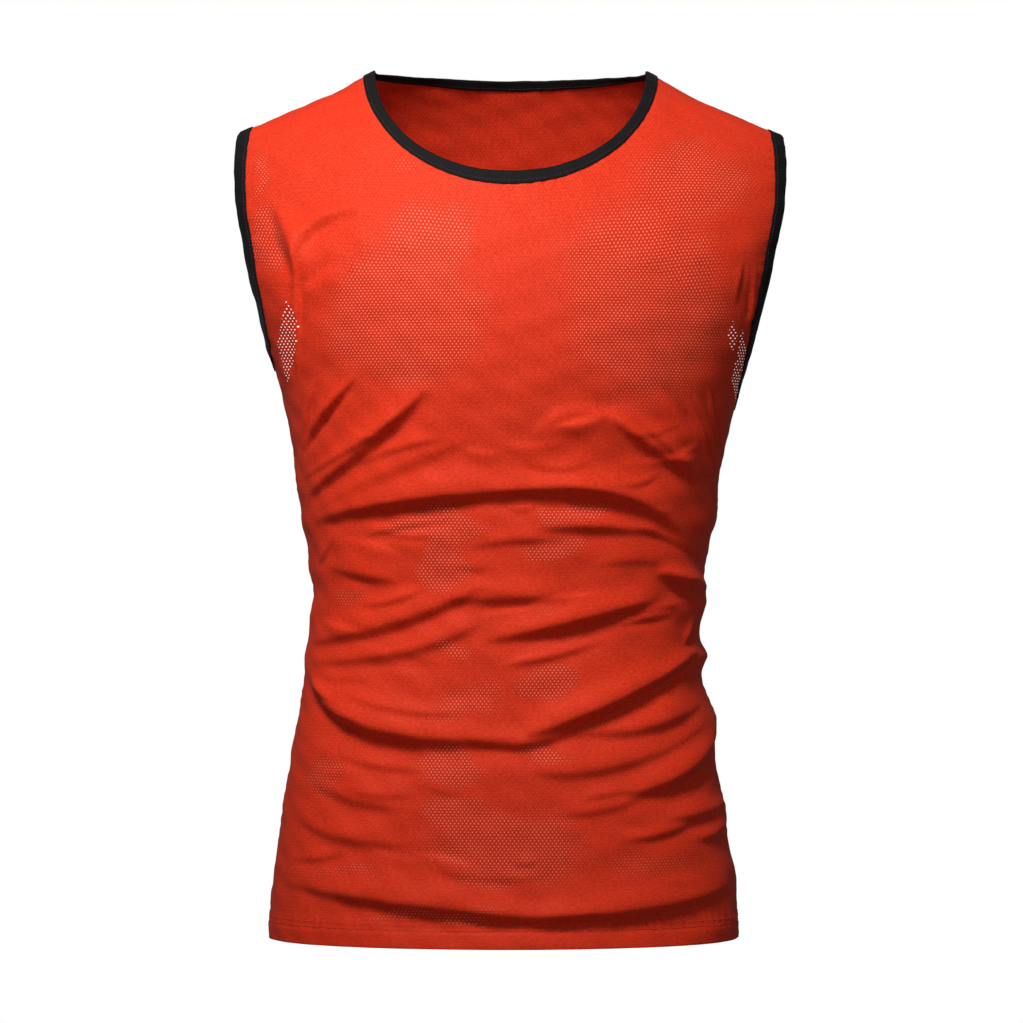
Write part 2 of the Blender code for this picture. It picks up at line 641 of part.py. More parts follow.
def build_panel(name, pattern, collection):
    face = pattern.face
    flat, faces = triangles_of(pattern)
    trimmed = trim_to_seams(face, flat, pattern)
    worn = worn_form(face, trimmed[:, 0], trimmed[:, 1])
    shell = bmesh.new()
    corners = [shell.verts.new(point) for point in worn]
    for triangle in faces:
        a, b, c = (flat[i] for i in triangle)
        turns_left = (b[0] - a[0]) * (c[1] - a[1]) - (b[1] - a[1]) * (c[0] - a[0]) > 0
        if turns_left == (face == FRONT):
            triangle = triangle[::-1]
        shell.faces.new([corners[i] for i in triangle])
    mesh = bpy.data.meshes.new(name)
    shell.to_mesh(mesh)
    shell.free()
    mesh.shade_smooth()
    obj = new_object(name, mesh, RED_MESH, collection)
    walls = obj.vertex_groups.new(name="wall")
    doubled = hem_share(flat[:, 1]) > 0.5
    for index in range(len(flat)):
        share = 1.0 if doubled[index] else CLOTH / HEM_CLOTH
        walls.add([index], share, "REPLACE")
    solidify = obj.modifiers.new("cloth thickness", "SOLIDIFY")
    solidify.thickness = HEM_CLOTH
    solidify.offset = 1.0
    solidify.vertex_group = walls.name


def binding_stations(lines):
    """Edge points, inward directions and normals along a ring of bound edges."""
    points, inward, normals = [], [], []
    for face, line, mates in lines:
        at = worn_form(face, line[:, 0], line[:, 1])
        mate = worn_form(face, mates[:, 0], mates[:, 1])
        direction = mate - at
        points.append(at)
        inward.append(direction / np.linalg.norm(direction, axis=1, keepdims=True))
        normals.append(form_normals(face, line[:, 0], line[:, 1]))
    return points, inward, normals


def build_binding(name, lines, width, collection):
    """A tape folded over the raw edges: a U section carried round a closed ring."""
    near, far = TAPE_EASE, TAPE_EASE + BINDING_CLOTH
    section = [
        (width, -far),
        (-far, -far),
        (-far, CLOTH + far),
        (width, CLOTH + far),
        (width, CLOTH + near),
        (-near, CLOTH + near),
        (-near, -near),
        (width, -near),
    ]
    points, inward, normals = binding_stations(lines)
    ring = bmesh.new()
    rows = []
    stretches = list(zip(points, inward, normals))
    for number, (at, into, out) in enumerate(stretches):
        after = stretches[(number + 1) % len(stretches)]
        last_into = into[-1] + after[1][0]
        last_out = out[-1] + after[2][0]
        into = np.vstack([into[1:-1], last_into / np.linalg.norm(last_into)])
        out = np.vstack([out[1:-1], last_out / np.linalg.norm(last_out)])
        for place, inner, normal in zip(at[1:], into, out):
            normal = normal - inner * (normal @ inner)
            normal /= np.linalg.norm(normal)
            corners = [place + inner * m + normal * n for m, n in section]
            rows.append([ring.verts.new(corner) for corner in corners])
    for this, following in zip(rows, rows[1:] + rows[:1]):
        for k in range(len(section)):
            j = (k + 1) % len(section)
            ring.faces.new((this[k], this[j], following[j], following[k]))
    bmesh.ops.recalc_face_normals(ring, faces=ring.faces)
    bmesh.ops.triangulate(ring, faces=ring.faces)
    mesh = bpy.data.meshes.new(name)
    ring.to_mesh(mesh)
    ring.free()
    new_object(name, mesh, BLACK_TAPE, collection)


def armhole_ring(front, back, side):
    """Up the front armhole edge from the side seam, and down the back one."""
    return [
        (FRONT, front.armholes[side], front.armhole_mates[side]),
        (BACK, back.armholes[side][::-1], back.armhole_mates[side][::-1]),
    ]


def neck_ring(front, back):
    return [
        (FRONT, front.neck, front.neck_mates),
        (BACK, back.neck[::-1], back.neck_mates[::-1]),
    ]


def main():
    for obj in list(bpy.data.objects):
        bpy.data.objects.remove(obj, do_unlink=True)
    collection = bpy.data.collections.new(COLLECTION)
    bpy.context.scene.collection.children.link(collection)
    front, back = Pattern(FRONT), Pattern(BACK)
    build_panel("front_panel", front, collection)
    build_panel("back_panel", back, collection)
    build_binding("neck_binding", neck_ring(front, back), NECK_TAPE, collection)
    for side, word in ((LEFT, "left"), (RIGHT, "right")):
        ring = armhole_ring(front, back, side)
        build_binding(f"armhole_binding_{word}", ring, ARMHOLE_TAPE, collection)


main()
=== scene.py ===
"""Looks of the training bib: thin knitted cloth, folded tape, seams and stitching.

Metres, +Z up, front towards -Y. The rule that lays the flat cloth on a general figure and
its sizes repeat the ones that the solids are built from. So do the main folds' tables, but
for the middle of the last front fold. The thin cloth turns in more sharply at these folds
than the solids' wall. The finer creases, the puckers beside the seams and the sewing are
added here.
"""
import functools
import math
import random
from collections import namedtuple

import bpy
import numpy as np
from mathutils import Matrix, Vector
from mathutils.geometry import delaunay_2d_cdt

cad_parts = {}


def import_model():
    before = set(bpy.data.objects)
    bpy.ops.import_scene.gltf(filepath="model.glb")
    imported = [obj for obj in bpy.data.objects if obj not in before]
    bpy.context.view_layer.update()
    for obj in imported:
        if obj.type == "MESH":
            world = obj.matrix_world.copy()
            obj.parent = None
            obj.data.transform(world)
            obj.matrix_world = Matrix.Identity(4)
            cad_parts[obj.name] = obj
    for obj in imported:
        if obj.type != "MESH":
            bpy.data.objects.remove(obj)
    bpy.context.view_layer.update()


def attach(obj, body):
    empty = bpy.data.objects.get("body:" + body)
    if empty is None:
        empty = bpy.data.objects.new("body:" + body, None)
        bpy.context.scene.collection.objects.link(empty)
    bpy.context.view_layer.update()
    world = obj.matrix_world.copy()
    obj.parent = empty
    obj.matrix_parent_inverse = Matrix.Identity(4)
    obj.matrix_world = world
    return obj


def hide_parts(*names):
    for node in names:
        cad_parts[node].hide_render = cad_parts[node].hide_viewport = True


FRONT, BACK = -1.0, 1.0      # the side of the body that a panel lies on, along Y
LEFT, RIGHT = -1.0, 1.0      # as seen from the front
SIDES = (LEFT, RIGHT)

# ---- driving dimensions, in metres ------------------------------------------
BODY_LENGTH = 0.690          # high shoulder point down to the hem, as worn
NECK_HALF = 0.1090           # centre to the raw neck edge on top of the shoulder
SHOULDER_TIP = 0.2145        # centre to the raw armhole edge on top of the shoulder
SHOULDER_SLOPE = 0.462       # drop for each metre outward along the shoulder
RIDGE_CENTRE = -0.002        # the shoulders hang this far to the left of the centre line
RAW_EDGE_DROP = 0.0045       # origin's level down to the raw neck edge on the shoulder
NECK_STAND = {LEFT: 0.0026, RIGHT: 0.0040}       # the neck edge stands up on the shoulder
NECK_STAND_REACH = 0.018     # and is level with the shoulder again this far away
FRONT_NECK_DROP = 0.0858     # raw edge on the shoulder down to the front neck edge
BACK_NECK_DROP = 0.0030      # and down to the back neck edge
BACK_NECK_SQUARENESS = 0.5   # below 1 the back neck edge leaves the shoulder squarely
UNDERARM_DROP = {LEFT: 0.2270, RIGHT: 0.2600}    # origin's level to the side seam's top

HEM_DEPTH = 0.020
NECK_TAPE = 0.0078           # how far each leg of the folded tape covers the panel
ARMHOLE_TAPE = 0.0092

# ---- how the cloth rolls over the top of the shoulders ----------------------
ROLL_HEIGHT = 0.160          # fall from the shoulder ridge to where the chest is upright
ROLL_CLOTH = 0.205           # cloth used up over that fall
APEX_SOFTNESS = 0.035        # rounds the ridge at the centre line
TIP_SOFTNESS = 0.030         # rounds the end of the slope at the shoulder tip
FULLNESS = 0.85              # below 1 a section is fuller than an ellipse
WORN_EXTRA = ROLL_CLOTH - ROLL_HEIGHT
HEM_DOWN = BODY_LENGTH + WORN_EXTRA      # the hem's fold, measured down along the cloth

# ---- the figure's sections: drop below the origin, then inside half sizes ----
Section = namedtuple("Section", "drop left right front back")
SECTIONS = [
    Section(-0.06, 0.2320, 0.2320, 0.0580, 0.0740),
    Section(0.000, 0.2320, 0.2320, 0.0650, 0.0840),
    Section(0.050, 0.2320, 0.2320, 0.0750, 0.0900),
    Section(0.100, 0.2280, 0.2275, 0.0910, 0.0990),
    Section(0.150, 0.2165, 0.2160, 0.1090, 0.1080),
    Section(0.200, 0.2000, 0.2005, 0.1180, 0.1100),
    Section(0.250, 0.1840, 0.1835, 0.1190, 0.1070),
    Section(0.300, 0.1735, 0.1705, 0.1150, 0.1000),
    Section(0.360, 0.1640, 0.1605, 0.1080, 0.0910),
    Section(0.420, 0.1565, 0.1515, 0.1040, 0.0860),
    Section(0.480, 0.1630, 0.1510, 0.1050, 0.0880),
    Section(0.540, 0.1735, 0.1615, 0.1090, 0.0960),
    Section(0.600, 0.1830, 0.1712, 0.1120, 0.1040),
    Section(0.660, 0.1905, 0.1795, 0.1150, 0.1080),
    Section(0.720, 0.1925, 0.1810, 0.1170, 0.1090),
]

# ---- armhole edges: drop, and degrees round the body from its centre line ---
# the drops are those of an underarm at the first row's level, and each side stretches
# them to its own
Turn = namedtuple("Turn", "drop degrees")
FRONT_ARMHOLE = [
    Turn(0.246, 90.0),
    Turn(0.242, 86.5),
    Turn(0.226, 82.5),
    Turn(0.190, 78.0),
    Turn(0.145, 74.2),
    Turn(0.100, 72.5),
]
BACK_ARMHOLE = [
    Turn(0.2460, 90.0),
    Turn(0.2465, 82.0),
    Turn(0.2440, 72.5),
    Turn(0.2330, 65.0),
    Turn(0.2100, 61.5),
    Turn(0.1750, 61.5),
    Turn(0.1350, 65.0),
    Turn(0.1000, 69.5),
]

# ---- folds: three places on the seen panel (x, drop) in mm, then height and width
# trough is +1 where the hollow lies under the ridge and -1 where it lies over it
Fold = namedtuple("Fold", "x0 d0 x1 d1 x2 d2 height width trough")
FRONT_FOLDS = [
    # the fan from the left underarm
    Fold(-164, 302, -148, 270, -122, 246, 3.5, 8, 1),
    Fold(-160, 338, -112, 292, -66, 252, 8.5, 12, 1),
    Fold(-155, 346, -100, 312, -24, 288, 3.5, 16, 1),
    # the fan from the right underarm
    Fold(76, 270, 110, 294, 150, 324, 7.0, 11, 1),
    Fold(112, 254, 136, 290, 155, 322, 4.0, 8, -1),
    Fold(142, 260, 154, 286, 162, 312, 3.0, 7, -1),
    Fold(20, 296, 58, 282, 106, 304, 4.0, 15, -1),
    # the long swag across the top of the waist
    Fold(-154, 356, -80, 334, 38, 328, 10.0, 15, 1),
    Fold(10, 330, 88, 332, 142, 376, 9.0, 13, 1),
    Fold(18, 362, 70, 357, 118, 366, 5.0, 11, 1),
    # short swags from the left side
    Fold(-142, 392, -112, 394, -82, 404, 4.0, 12, 1),
    Fold(-156, 452, -94, 432, -22, 405, 7.0, 13, 1),
    Fold(-156, 467, -86, 454, -24, 434, 5.0, 12, 1),
    Fold(-54, 416, 0, 411, 50, 414, 5.0, 13, 1),
    # swags from the right side
    Fold(-24, 449, 48, 430, 118, 414, 8.5, 13, 1),
    Fold(114, 396, 138, 404, 154, 413, 5.0, 9, 1),
    # the two long swags that meet under the waist
    Fold(-157, 473, -106, 512, 8, 522, 11.5, 17, 1),
    Fold(8, 521, 70, 496, 142, 457, 11.0, 15, 1),
    Fold(50, 518, 102, 514, 148, 499, 5.0, 12, 1),
    Fold(14, 549, 80, 543, 150, 515, 3.5, 12, 1),
    Fold(88, 568, 134, 550, 159, 516, 8.5, 13, 1),
    # low folds on the left and right of the skirt
    Fold(-155, 562, -118, 570, -80, 580, 3.5, 12, 1),
    Fold(-166, 590, -126, 600, -74, 606, 3.5, 12, 1),
    Fold(122, 588, 150, 584, 170, 577, 3.5, 9, 1),
    Fold(142, 606, 162, 600, 172, 592, 3.5, 9, 1),
    # the fold that hangs over the hem
    Fold(-178, 638, -66, 650, 20, 660, 8.5, 15, 1),
    Fold(8, 660, 92, 654, 174, 641, 8.5, 15, 1),
    # the hollow that runs down beside the left armhole
    Fold(-186, 110, -169, 140, -163, 176, 5.0, 15, 1),
]
BACK_FOLDS = [
    Fold(-158, 296, -128, 268, -92, 252, 5.0, 11, 1),
    Fold(-156, 330, -104, 296, -50, 274, 6.0, 13, 1),
    Fold(86, 262, 122, 286, 154, 318, 6.0, 12, 1),
    Fold(60, 290, 104, 306, 150, 340, 4.0, 12, 1),
    Fold(-150, 366, -70, 346, 30, 340, 8.5, 15, 1),
    Fold(0, 342, 74, 344, 138, 372, 7.0, 14, 1),
    Fold(-146, 402, -84, 392, -18, 396, 6.0, 13, 1),
    Fold(-10, 402, 62, 390, 134, 402, 6.5, 13, 1),
    Fold(-148, 440, -64, 434, 24, 420, 7.0, 14, 1),
    Fold(20, 448, 84, 440, 142, 424, 6.0, 12, 1),
    Fold(-152, 478, -80, 484, 10, 476, 6.0, 14, 1),
    Fold(-4, 494, 72, 484, 140, 462, 8.0, 15, 1),
    Fold(-156, 512, -96, 528, -14, 532, 7.0, 15, 1),
    Fold(20, 536, 90, 528, 148, 500, 5.0, 13, 1),
    Fold(-162, 566, -110, 574, -46, 574, 4.0, 13, 1),
    Fold(46, 580, 108, 572, 158, 552, 4.0, 13, 1),
    Fold(-166, 622, -60, 632, 54, 636, 6.0, 15, 1),
    Fold(40, 628, 108, 624, 168, 610, 5.0, 14, 1),
    Fold(-48, 120, -70, 170, -76, 226, 3.0, 20, 1),
    Fold(52, 116, 76, 166, 84, 224, 3.0, 20, -1),
]
# thin cloth turns in more sharply under a ridge than the solids' wall, and less deeply
FOLD_SHARE = 0.68            # height of a main fold, in shares of the solids'
FOLD_SHIFT = 0.38            # widths that its ridge is moved off its path, to the hollow's side
CREST_ABOVE = 1.15           # reach of the ridge away from its hollow, in fold widths
CREST_BELOW = 0.42           # and towards it
TROUGH_AT = 0.82             # from the ridge to the deepest place of the hollow
TROUGH_NEAR = 0.42           # the hollow is steep on the ridge's side
TROUGH_FAR = 1.05            # and rises slowly beyond
TROUGH_DEPTH = 0.62          # in shares of the fold's height
END_WIDTH = 0.50             # share of its width that a fold keeps at its ends
FOLD_STEPS = 16              # short straight stretches that a fold's path is read in
FOLD_REACH = 4.2             # a fold is nil this many of its widths away from its path
SIDE_FADE = 0.026            # folds die out over this much cloth before a side seam
FINE_FADE = 0.012            # and the fine creases over this much

# ---- bulges of the side seams: drop and half length in mm, then how far out --
Bulge = namedtuple("Bulge", "drop reach out")
LEFT_BULGES = [
    Bulge(328, 14, 2.2),
    Bulge(360, 16, 1.6),
    Bulge(396, 10, 2.2),
    Bulge(434, 13, 2.6),
    Bulge(466, 13, 3.0),
]
RIGHT_BULGES = [
    Bulge(356, 14, 3.4),
    Bulge(421, 13, 4.6),
    Bulge(466, 9, 6.4),
    Bulge(515, 20, 6.6),
    Bulge(590, 12, 2.0),
    Bulge(640, 12, 2.4),
]
BULGE_REACH_IN = 0.045       # how far in from the seam a bulge still lifts the cloth

# ---- how finely the curves are worked out ------------------------------------
EDGE_STEP = 0.0105           # stations along a cut line that puckers are measured from
ARC_STEPS = 40               # parts of a quarter section
LINE_STEPS = 60              # parts of a cut line before it is spaced evenly
SETTLE_ROUNDS = 6            # rounds in which a place on the shoulder's roll is settled
CLEAR_BATCH = 2000           # points tested against a line in one go
PROBE = 0.0008               # half the cloth over which a slope is measured
ON_LINE = 1e-5               # a point this near a line counts as on it
SAME_POINT = 1e-6            # two points closer than this are one
CORNER_REACH = 1.0           # how far away the place lies that a line's end is turned to

# ---- fine creases, in the same columns as the folds ---------------------------
FINE_FRONT_FOLDS = [
    # by the left underarm, and down beside the left armhole
    Fold(-164, 312, -159, 274, -152, 246, 2.2, 4, 1),
    Fold(-163, 305, -142, 271, -119, 245, 2.2, 4, 1),
    Fold(-165, 327, -118, 298, -68, 258, 1.6, 5, 1),
    Fold(-125, 317, -86, 300, -52, 295, 1.8, 7, 1),
    Fold(-168, 120, -167, 190, -166, 252, 2.2, 4, 1),
    Fold(-167, 158, -154, 126, -111, 114, 3.2, 8, 1),
    Fold(-164, 180, -148, 171, -130, 157, 1.5, 8, -1),
    Fold(-145, 47, -125, 46, -106, 47, 1.0, 4, 1),
    Fold(-188, 108, -170, 142, -164, 178, 2.0, 9, 1),
    # by the right underarm
    Fold(138, 262, 151, 291, 159, 318, 2.4, 4, -1),
    Fold(156, 254, 161, 280, 166, 308, 2.4, 4, -1),
    Fold(96, 276, 124, 302, 150, 334, 2.0, 6, 1),
    # where the long swag's two halves meet
    Fold(-20, 335, 44, 336, 96, 348, 4.0, 10, 1),
    Fold(191, 153, 189, 195, 184, 211, 1.4, 4, 1),
    Fold(182, 153, 179, 171, 176, 189, 1.2, 4, 1),
    # between the main folds, from the top of the waist down
    Fold(-150, 392, -146, 384, -140, 371, 1.6, 5, 1),
    Fold(-118, 372, -86, 362, -44, 358, 1.6, 6, 1),
    Fold(-60, 344, 0, 341, 60, 346, 1.2, 6, 1),
    Fold(-34, 380, 4, 372, 46, 374, 1.4, 7, 1),
    Fold(64, 394, 92, 388, 124, 392, 1.0, 8, 1),
    Fold(116, 397, 138, 403, 157, 414, 3.0, 8, 1),
    Fold(96, 362, 122, 370, 146, 386, 1.8, 6, 1),
    Fold(-120, 424, -92, 420, -66, 410, 1.8, 6, 1),
    Fold(-10, 470, 34, 462, 74, 450, 1.8, 7, 1),
    Fold(84, 440, 106, 434, 128, 432, 1.8, 5, 1),
    Fold(145, 433, 141, 446, 135, 456, 2.2, 5, 1),
    Fold(-156, 484, -147, 493, -138, 501, 2.2, 5, 1),
    Fold(-130, 492, -84, 505, -30, 507, 1.6, 7, 1),
    Fold(110, 486, 130, 474, 146, 460, 2.2, 6, 1),
    Fold(-34, 528, 10, 530, 52, 519, 3.2, 9, 1),
    # on the skirt
    Fold(-44, 660, 14, 666, 70, 661, 3.6, 9, 1),
    Fold(-138, 540, -104, 548, -62, 552, 1.4, 7, 1),
    Fold(141, 568, 149, 563, 157, 558, 1.8, 5, 1),
    Fold(30, 586, 70, 582, 106, 572, 1.4, 8, 1),
    Fold(-60, 628, -16, 634, 30, 632, 1.2, 8, 1),
    Fold(84, 606, 118, 602, 148, 592, 1.6, 6, 1),
    Fold(-172, 624, -150, 622, -128, 616, 1.4, 6, 1),
]
FINE_BACK_FOLDS = [
    Fold(-168, 300, -158, 272, -150, 248, 1.5, 5, 1),
    Fold(150, 250, 158, 276, 166, 304, 1.5, 5, -1),
    Fold(-126, 352, -92, 346, -56, 350, 1.6, 6, 1),
    Fold(64, 366, 98, 360, 128, 366, 1.8, 6, 1),
    Fold(-60, 372, -20, 366, 26, 370, 1.4, 7, 1),
    Fold(-132, 420, -104, 418, -70, 412, 1.8, 6, 1),
    Fold(40, 414, 76, 408, 112, 416, 1.8, 6, 1),
    Fold(-40, 458, 0, 452, 40, 444, 1.7, 7, 1),
    Fold(-140, 498, -108, 506, -74, 508, 1.9, 6, 1),
    Fold(70, 508, 104, 500, 136, 486, 1.9, 6, 1),
    Fold(-36, 556, 10, 556, 56, 550, 1.4, 8, 1),
    Fold(-150, 600, -112, 606, -66, 606, 1.4, 7, 1),
    Fold(70, 602, 106, 600, 146, 590, 1.5, 7, 1),
    Fold(-172, 150, -166, 186, -158, 222, 1.2, 5, 1),
    Fold(158, 222, 166, 186, 172, 146, 1.2, 5, 1),
]

# small creases too many to place by hand: how many, and the ranges they are drawn from
SMALL_CREASES = 44
CREASE_SEED = 8
CREASE_X = (-150.0, 146.0)
CREASE_DROP = (272.0, 648.0)
CREASE_LENGTH = (24.0, 66.0)
CREASE_SLOPE = 0.30          # they dip towards the centre line by up to this much
CREASE_HEIGHT = (0.35, 1.15)
CREASE_WIDTH = (4.0, 8.0)
CREASE_BOW = (-0.12, 0.30)   # how far the middle hangs, in shares of half the length

# ---- patches where the knit is drawn open: centre (x, drop), half sizes in mm -----
Patch = namedtuple("Patch", "x drop wide tall open")
FRONT_PATCHES = [
    Patch(-82, 200, 66, 60, 0.85),
    Patch(-63, 140, 38, 34, 0.80),
    Patch(-83, 80, 9, 9, 0.45),
    Patch(104, 184, 68, 86, 0.80),
    Patch(142, 92, 50, 36, 0.70),
    Patch(-199, 84, 7, 24, 0.60),
    Patch(-189, 136, 15, 32, 0.80),
    Patch(-57, 362, 42, 13, 0.90),
    Patch(-51, 392, 20, 26, 0.90),
    Patch(46, 355, 27, 9, 0.80),
    Patch(35, 380, 24, 8, 0.80),
    Patch(-125, 417, 14, 6, 0.45),
    Patch(33, 432, 18, 6, 0.70),
    Patch(-45, 458, 18, 8, 0.90),
    Patch(30, 486, 22, 18, 0.90),
    Patch(-31, 498, 26, 14, 0.60),
    Patch(-60, 507, 36, 9, 0.80),
    Patch(-50, 550, 27, 17, 0.85),
    Patch(27, 540, 26, 7, 0.70),
    Patch(-146, 562, 13, 22, 0.60),
    Patch(-44, 583, 22, 14, 0.80),
    Patch(-4, 613, 62, 32, 0.90),
    Patch(110, 628, 40, 12, 0.35),
    Patch(-121, 634, 48, 6, 0.50),
    Patch(-47, 663, 60, 6, 1.10),
]
BACK_PATCHES = [
    Patch(-92, 170, 60, 84, 0.80),
    Patch(88, 176, 62, 88, 0.80),
    Patch(0, 250, 54, 46, 0.60),
    Patch(-46, 372, 50, 20, 0.85),
    Patch(62, 404, 44, 16, 0.85),
    Patch(-70, 458, 46, 15, 0.85),
    Patch(40, 508, 48, 18, 0.90),
    Patch(-60, 552, 60, 22, 0.85),
    Patch(30, 606, 84, 40, 0.90),
]
# where one layer alone hangs before the open armhole, its eyelets are painted pale with a faint
# painted glow, standing in for the pale room seen through them
CLEAR_PATCHES = [
    Patch(-175, 217, 9, 33, 1.0),
    Patch(-171, 206, 6, 20, 1.0),
    Patch(174, 213, 4, 13, 1.0),
    Patch(182, 224, 4, 18, 1.0),
    Patch(178, 246, 4, 18, 1.0),
]
PATCH_RIM = 1.22             # a patch is nil this many of its half sizes from its centre
PATCH_SOFT = 0.62            # and full this much further in
CLEAR_EDGE = 0.5             # clearness at the border of a clear patch
KNIT_SHUT = 0.25             # openness away from every patch
SHUT_BY_RIDGE = 0.22         # openness lost for each millimetre that a ridge stands up
RIDGE_MOST = 4.0             # up to this many millimetres
HEM_SHUT = 0.3               # share of its openness that the doubled hem keeps
# borders of the patches sway in waves: length in mm, direction in radians, sway in mm
Sway = namedtuple("Sway", "wave turn sway")
PATCH_SWAYS = [Sway(53.0, 0.6, 3.0), Sway(31.0, 2.1, 2.2), Sway(19.0, 1.2, 1.4)]

# ---- sizes of the cloth and the sewing -----------------------------------------
CLOTH_MIDDLE = 0.00075       # the thin cloth lies in the middle of its solid's wall
SHELL_STEP = 0.0050          # spacing of the flat points, halved once afterwards
SHELL_CLEAR = 0.0026         # and how far they stay from the cut line
EDGE_STATIONS = 0.0050       # spacing of the points on the cut line
HEM_PROUD = 0.00085          # how far the doubled hem stands out
HEM_STEP_SOFT = 0.0025       # over this much cloth
HEM_LAYER_GAP = 0.0010       # between the hem's outer and turned-up layers
HEM_TURN_STEPS = 5           # rows of points round the hem's fold
HEM_INNER_ROWS = 6           # and up its turned-up layer
HEM_TURNED = 0.019           # height of that layer
HEM_UV_STEP = 0.003          # cloth between its rows in the pattern of the knit
NEEDLE_ROWS = (0.0178, 0.0138)   # two stitch rows, measured up from the hem's fold
NEEDLE_SINK = 0.00080        # how far a stitch row pulls the cloth in
NEEDLE_SOFT = 0.0016         # half the width of that groove
SEAM_ROLL = 0.0013           # how far a panel turns inward into a seam
SEAM_ROLL_REACH = 0.0034     # over this much cloth
PUCKER = 0.00034             # height of the little waves beside sewing
PUCKER_REACH = 0.0085        # they die out over this much cloth
PUCKER_WAVE = 0.0085         # and are this long
WAVE_SIZES = (0.62, 0.38)    # mean size of a wave and how far it changes along the sewing
SIZE_TURN = (71.0, 0.7)      # radians for each metre, and where the change starts
LENGTH_TURNS = ((1.3, 113.0), (0.8, 47.0))       # its length changes: by how much, how fast
RIPPLE = 0.00016             # height of each slow ripple of the whole cloth
RIPPLE_BEND = (1.7, 31.0)    # how far its crests wander, and how fast
# each ripple's length in metres and its direction in radians
Ripple = namedtuple("Ripple", "wave turn")
RIPPLES = [
    Ripple(0.061, 0.4),
    Ripple(0.047, 1.9),
    Ripple(0.036, 0.9),
    Ripple(0.029, 2.6),
    Ripple(0.023, 1.4),
    Ripple(0.018, 2.2),
]

TAPE_PLY = 0.00055           # one layer of the binding tape
TAPE_OFF_CLOTH = 0.00038     # cloth's middle to the tape's near face
TAPE_FOLD = 0.0014           # how far the tape's fold stands out past the raw edge
TAPE_STEP = 0.0020           # spacing of the sections along the tape
TAPE_WAVE = 0.00012          # height and length of the waves along it
TAPE_WAVE_LENGTH = 0.0119
TAPE_FULLER = 0.45           # how much wider the armhole tape lies beside the chest
FULLER_DROP = 0.195          # widest at this drop
FULLER_REACH = 0.055         # and no wider this far from it
TAPE_EDGE_ROUND = 0.0002     # rounding of the tape's free edges
TAPE_LEG_SHARES = (0.80, 0.60, 0.40, 0.20, 0.0)  # points across a leg, in shares of it
TAPE_FOLD_DEGREES = (60.0, 30.0, 0.0, -30.0, -60.0)
TAPE_PROBE = 0.003           # cloth beside the raw edge that gives the fold's direction
TAPE_STITCH_IN = 0.0021      # stitch row, measured in from the tape's free edge
TAPE_MIDDLE = 0.004          # the tape's length is measured this far in from the raw edge

# each binding: its piece, the solid it stands for, the edge it binds, and its leg
Tape = namedtuple("Tape", "name solid kind side leg")
TAPES = [
    Tape("neck_tape", "neck_binding", "neck", 0.0, NECK_TAPE),
    Tape("armhole_tape_left", "armhole_binding_left", "arm", LEFT, ARMHOLE_TAPE),
    Tape("armhole_tape_right", "armhole_binding_right", "arm", RIGHT, ARMHOLE_TAPE),
]

Stitch = namedtuple("Stitch", "pitch length radius")
HEM_STITCH = Stitch(0.0030, 0.0025, 0.00030)
TAPE_STITCH = Stitch(0.0028, 0.0022, 0.00022)
STITCH_SIDES = 6             # flat sides round a stitch's spindle
# rings of a stitch's spindle: place along its length and size, in shares of each
STITCH_RINGS = [(-0.42, 0.62), (-0.15, 1.0), (0.15, 1.0), (0.42, 0.62)]
STITCH_START_IN = 0.002      # a hem's stitch row starts this far from the side seam
STITCH_STATIONS = 400        # places along the row at which the cloth is read
LIFT_PROBE = 0.001           # step off the cloth that shows which way a stitch faces

OVERLOCK_WIDTH = 0.0055      # width of a seam allowance and its overlock
OVERLOCK_PITCH = 0.0021      # from one turn of the thread to the next
OVERLOCK_THREAD = 0.00026    # the thread's radius
OVERLOCK_LIFT = -0.0021      # the thread lies this far off the cloth's middle
OVERLOCK_TURNS = (0.0012, OVERLOCK_WIDTH + 0.0002)   # zigzag, in from the seam
STRIP_ACROSS = (0.0004, 0.0030, OVERLOCK_WIDTH)  # points across a seam allowance
STRIP_FACES = (-0.0010, -0.0019)                 # its faces, off the cloth's middle
STRIP_LIP = 0.00182          # how far it goes on past the seam, under the front panel
STRIP_STEP = 0.003           # from one row of its points to the next
SHOULDER_STATIONS = 40       # places at which a shoulder seam is read

# ---- the finish ------------------------------------------------------------------
UV_NAME = "cloth_metres"
OPENNESS_NAME = "openness"
CLEARNESS_NAME = "clearness"
EYELET_ACROSS = 0.0031       # spacing of the eyelets along a course
EYELET_DOWN = 0.0044         # and down a wale, every second course shifted by half
EYELET_SHUT_MM = 0.36        # an eyelet's radius in close knit
EYELET_OPEN_MM = 0.66        # and where the knit is drawn right open
CLEAR_SHRINK_MM = 0.16       # and how much smaller the painted pale eyelets of a clear patch look
DRAWN_WIDE = 0.60            # a clear patch is pulled sideways until its net is 1/this wide
EYELET_RIM_MM = (-0.12, 0.14)    # an eyelet's colour fades out over this part of its rim
RIM_SHADE_MM = 0.55          # the painted shade on the yarn is strongest this far from the eyelets
RIM_SHADE = 0.20             # and this dark there, where openness counts as 1
PAINTED_SHADE_SHARE = 0.28             # share of the painted shade's dark colour that their sum is multiplied by
NET_RELIEF_MM = (-0.3, 0.5)  # an eyelet's wall rises over this much
PALE_OPENNESS = (0.10, 0.90) # openness at which eyelets start to be pale and are palest
PALEST = 0.64                # how far such an eyelet turns to the pale colour of its painted light
WANDER_MM = 3.85             # the net wanders over this much
WANDER = 0.0004              # by up to half of this to each side
SLUB_MM = (3.33, 1.61)       # size of the thick places of the yarn
GRAIN_MM = 0.526             # spacing of single loops of yarn
GRAIN_SHARE = 0.35           # the grain's relief, in shares of the eyelets'
CLEAR_GLOW = 0.45            # strength of the painted glow of a clear patch's pale eyelets, standing in for the room's light seen through them
RIB_MM = 1.65                # the tape's ribs, twice as coarse as the real ones, so they show
LINT_MM = 1.11               # its fibres, also drawn coarser
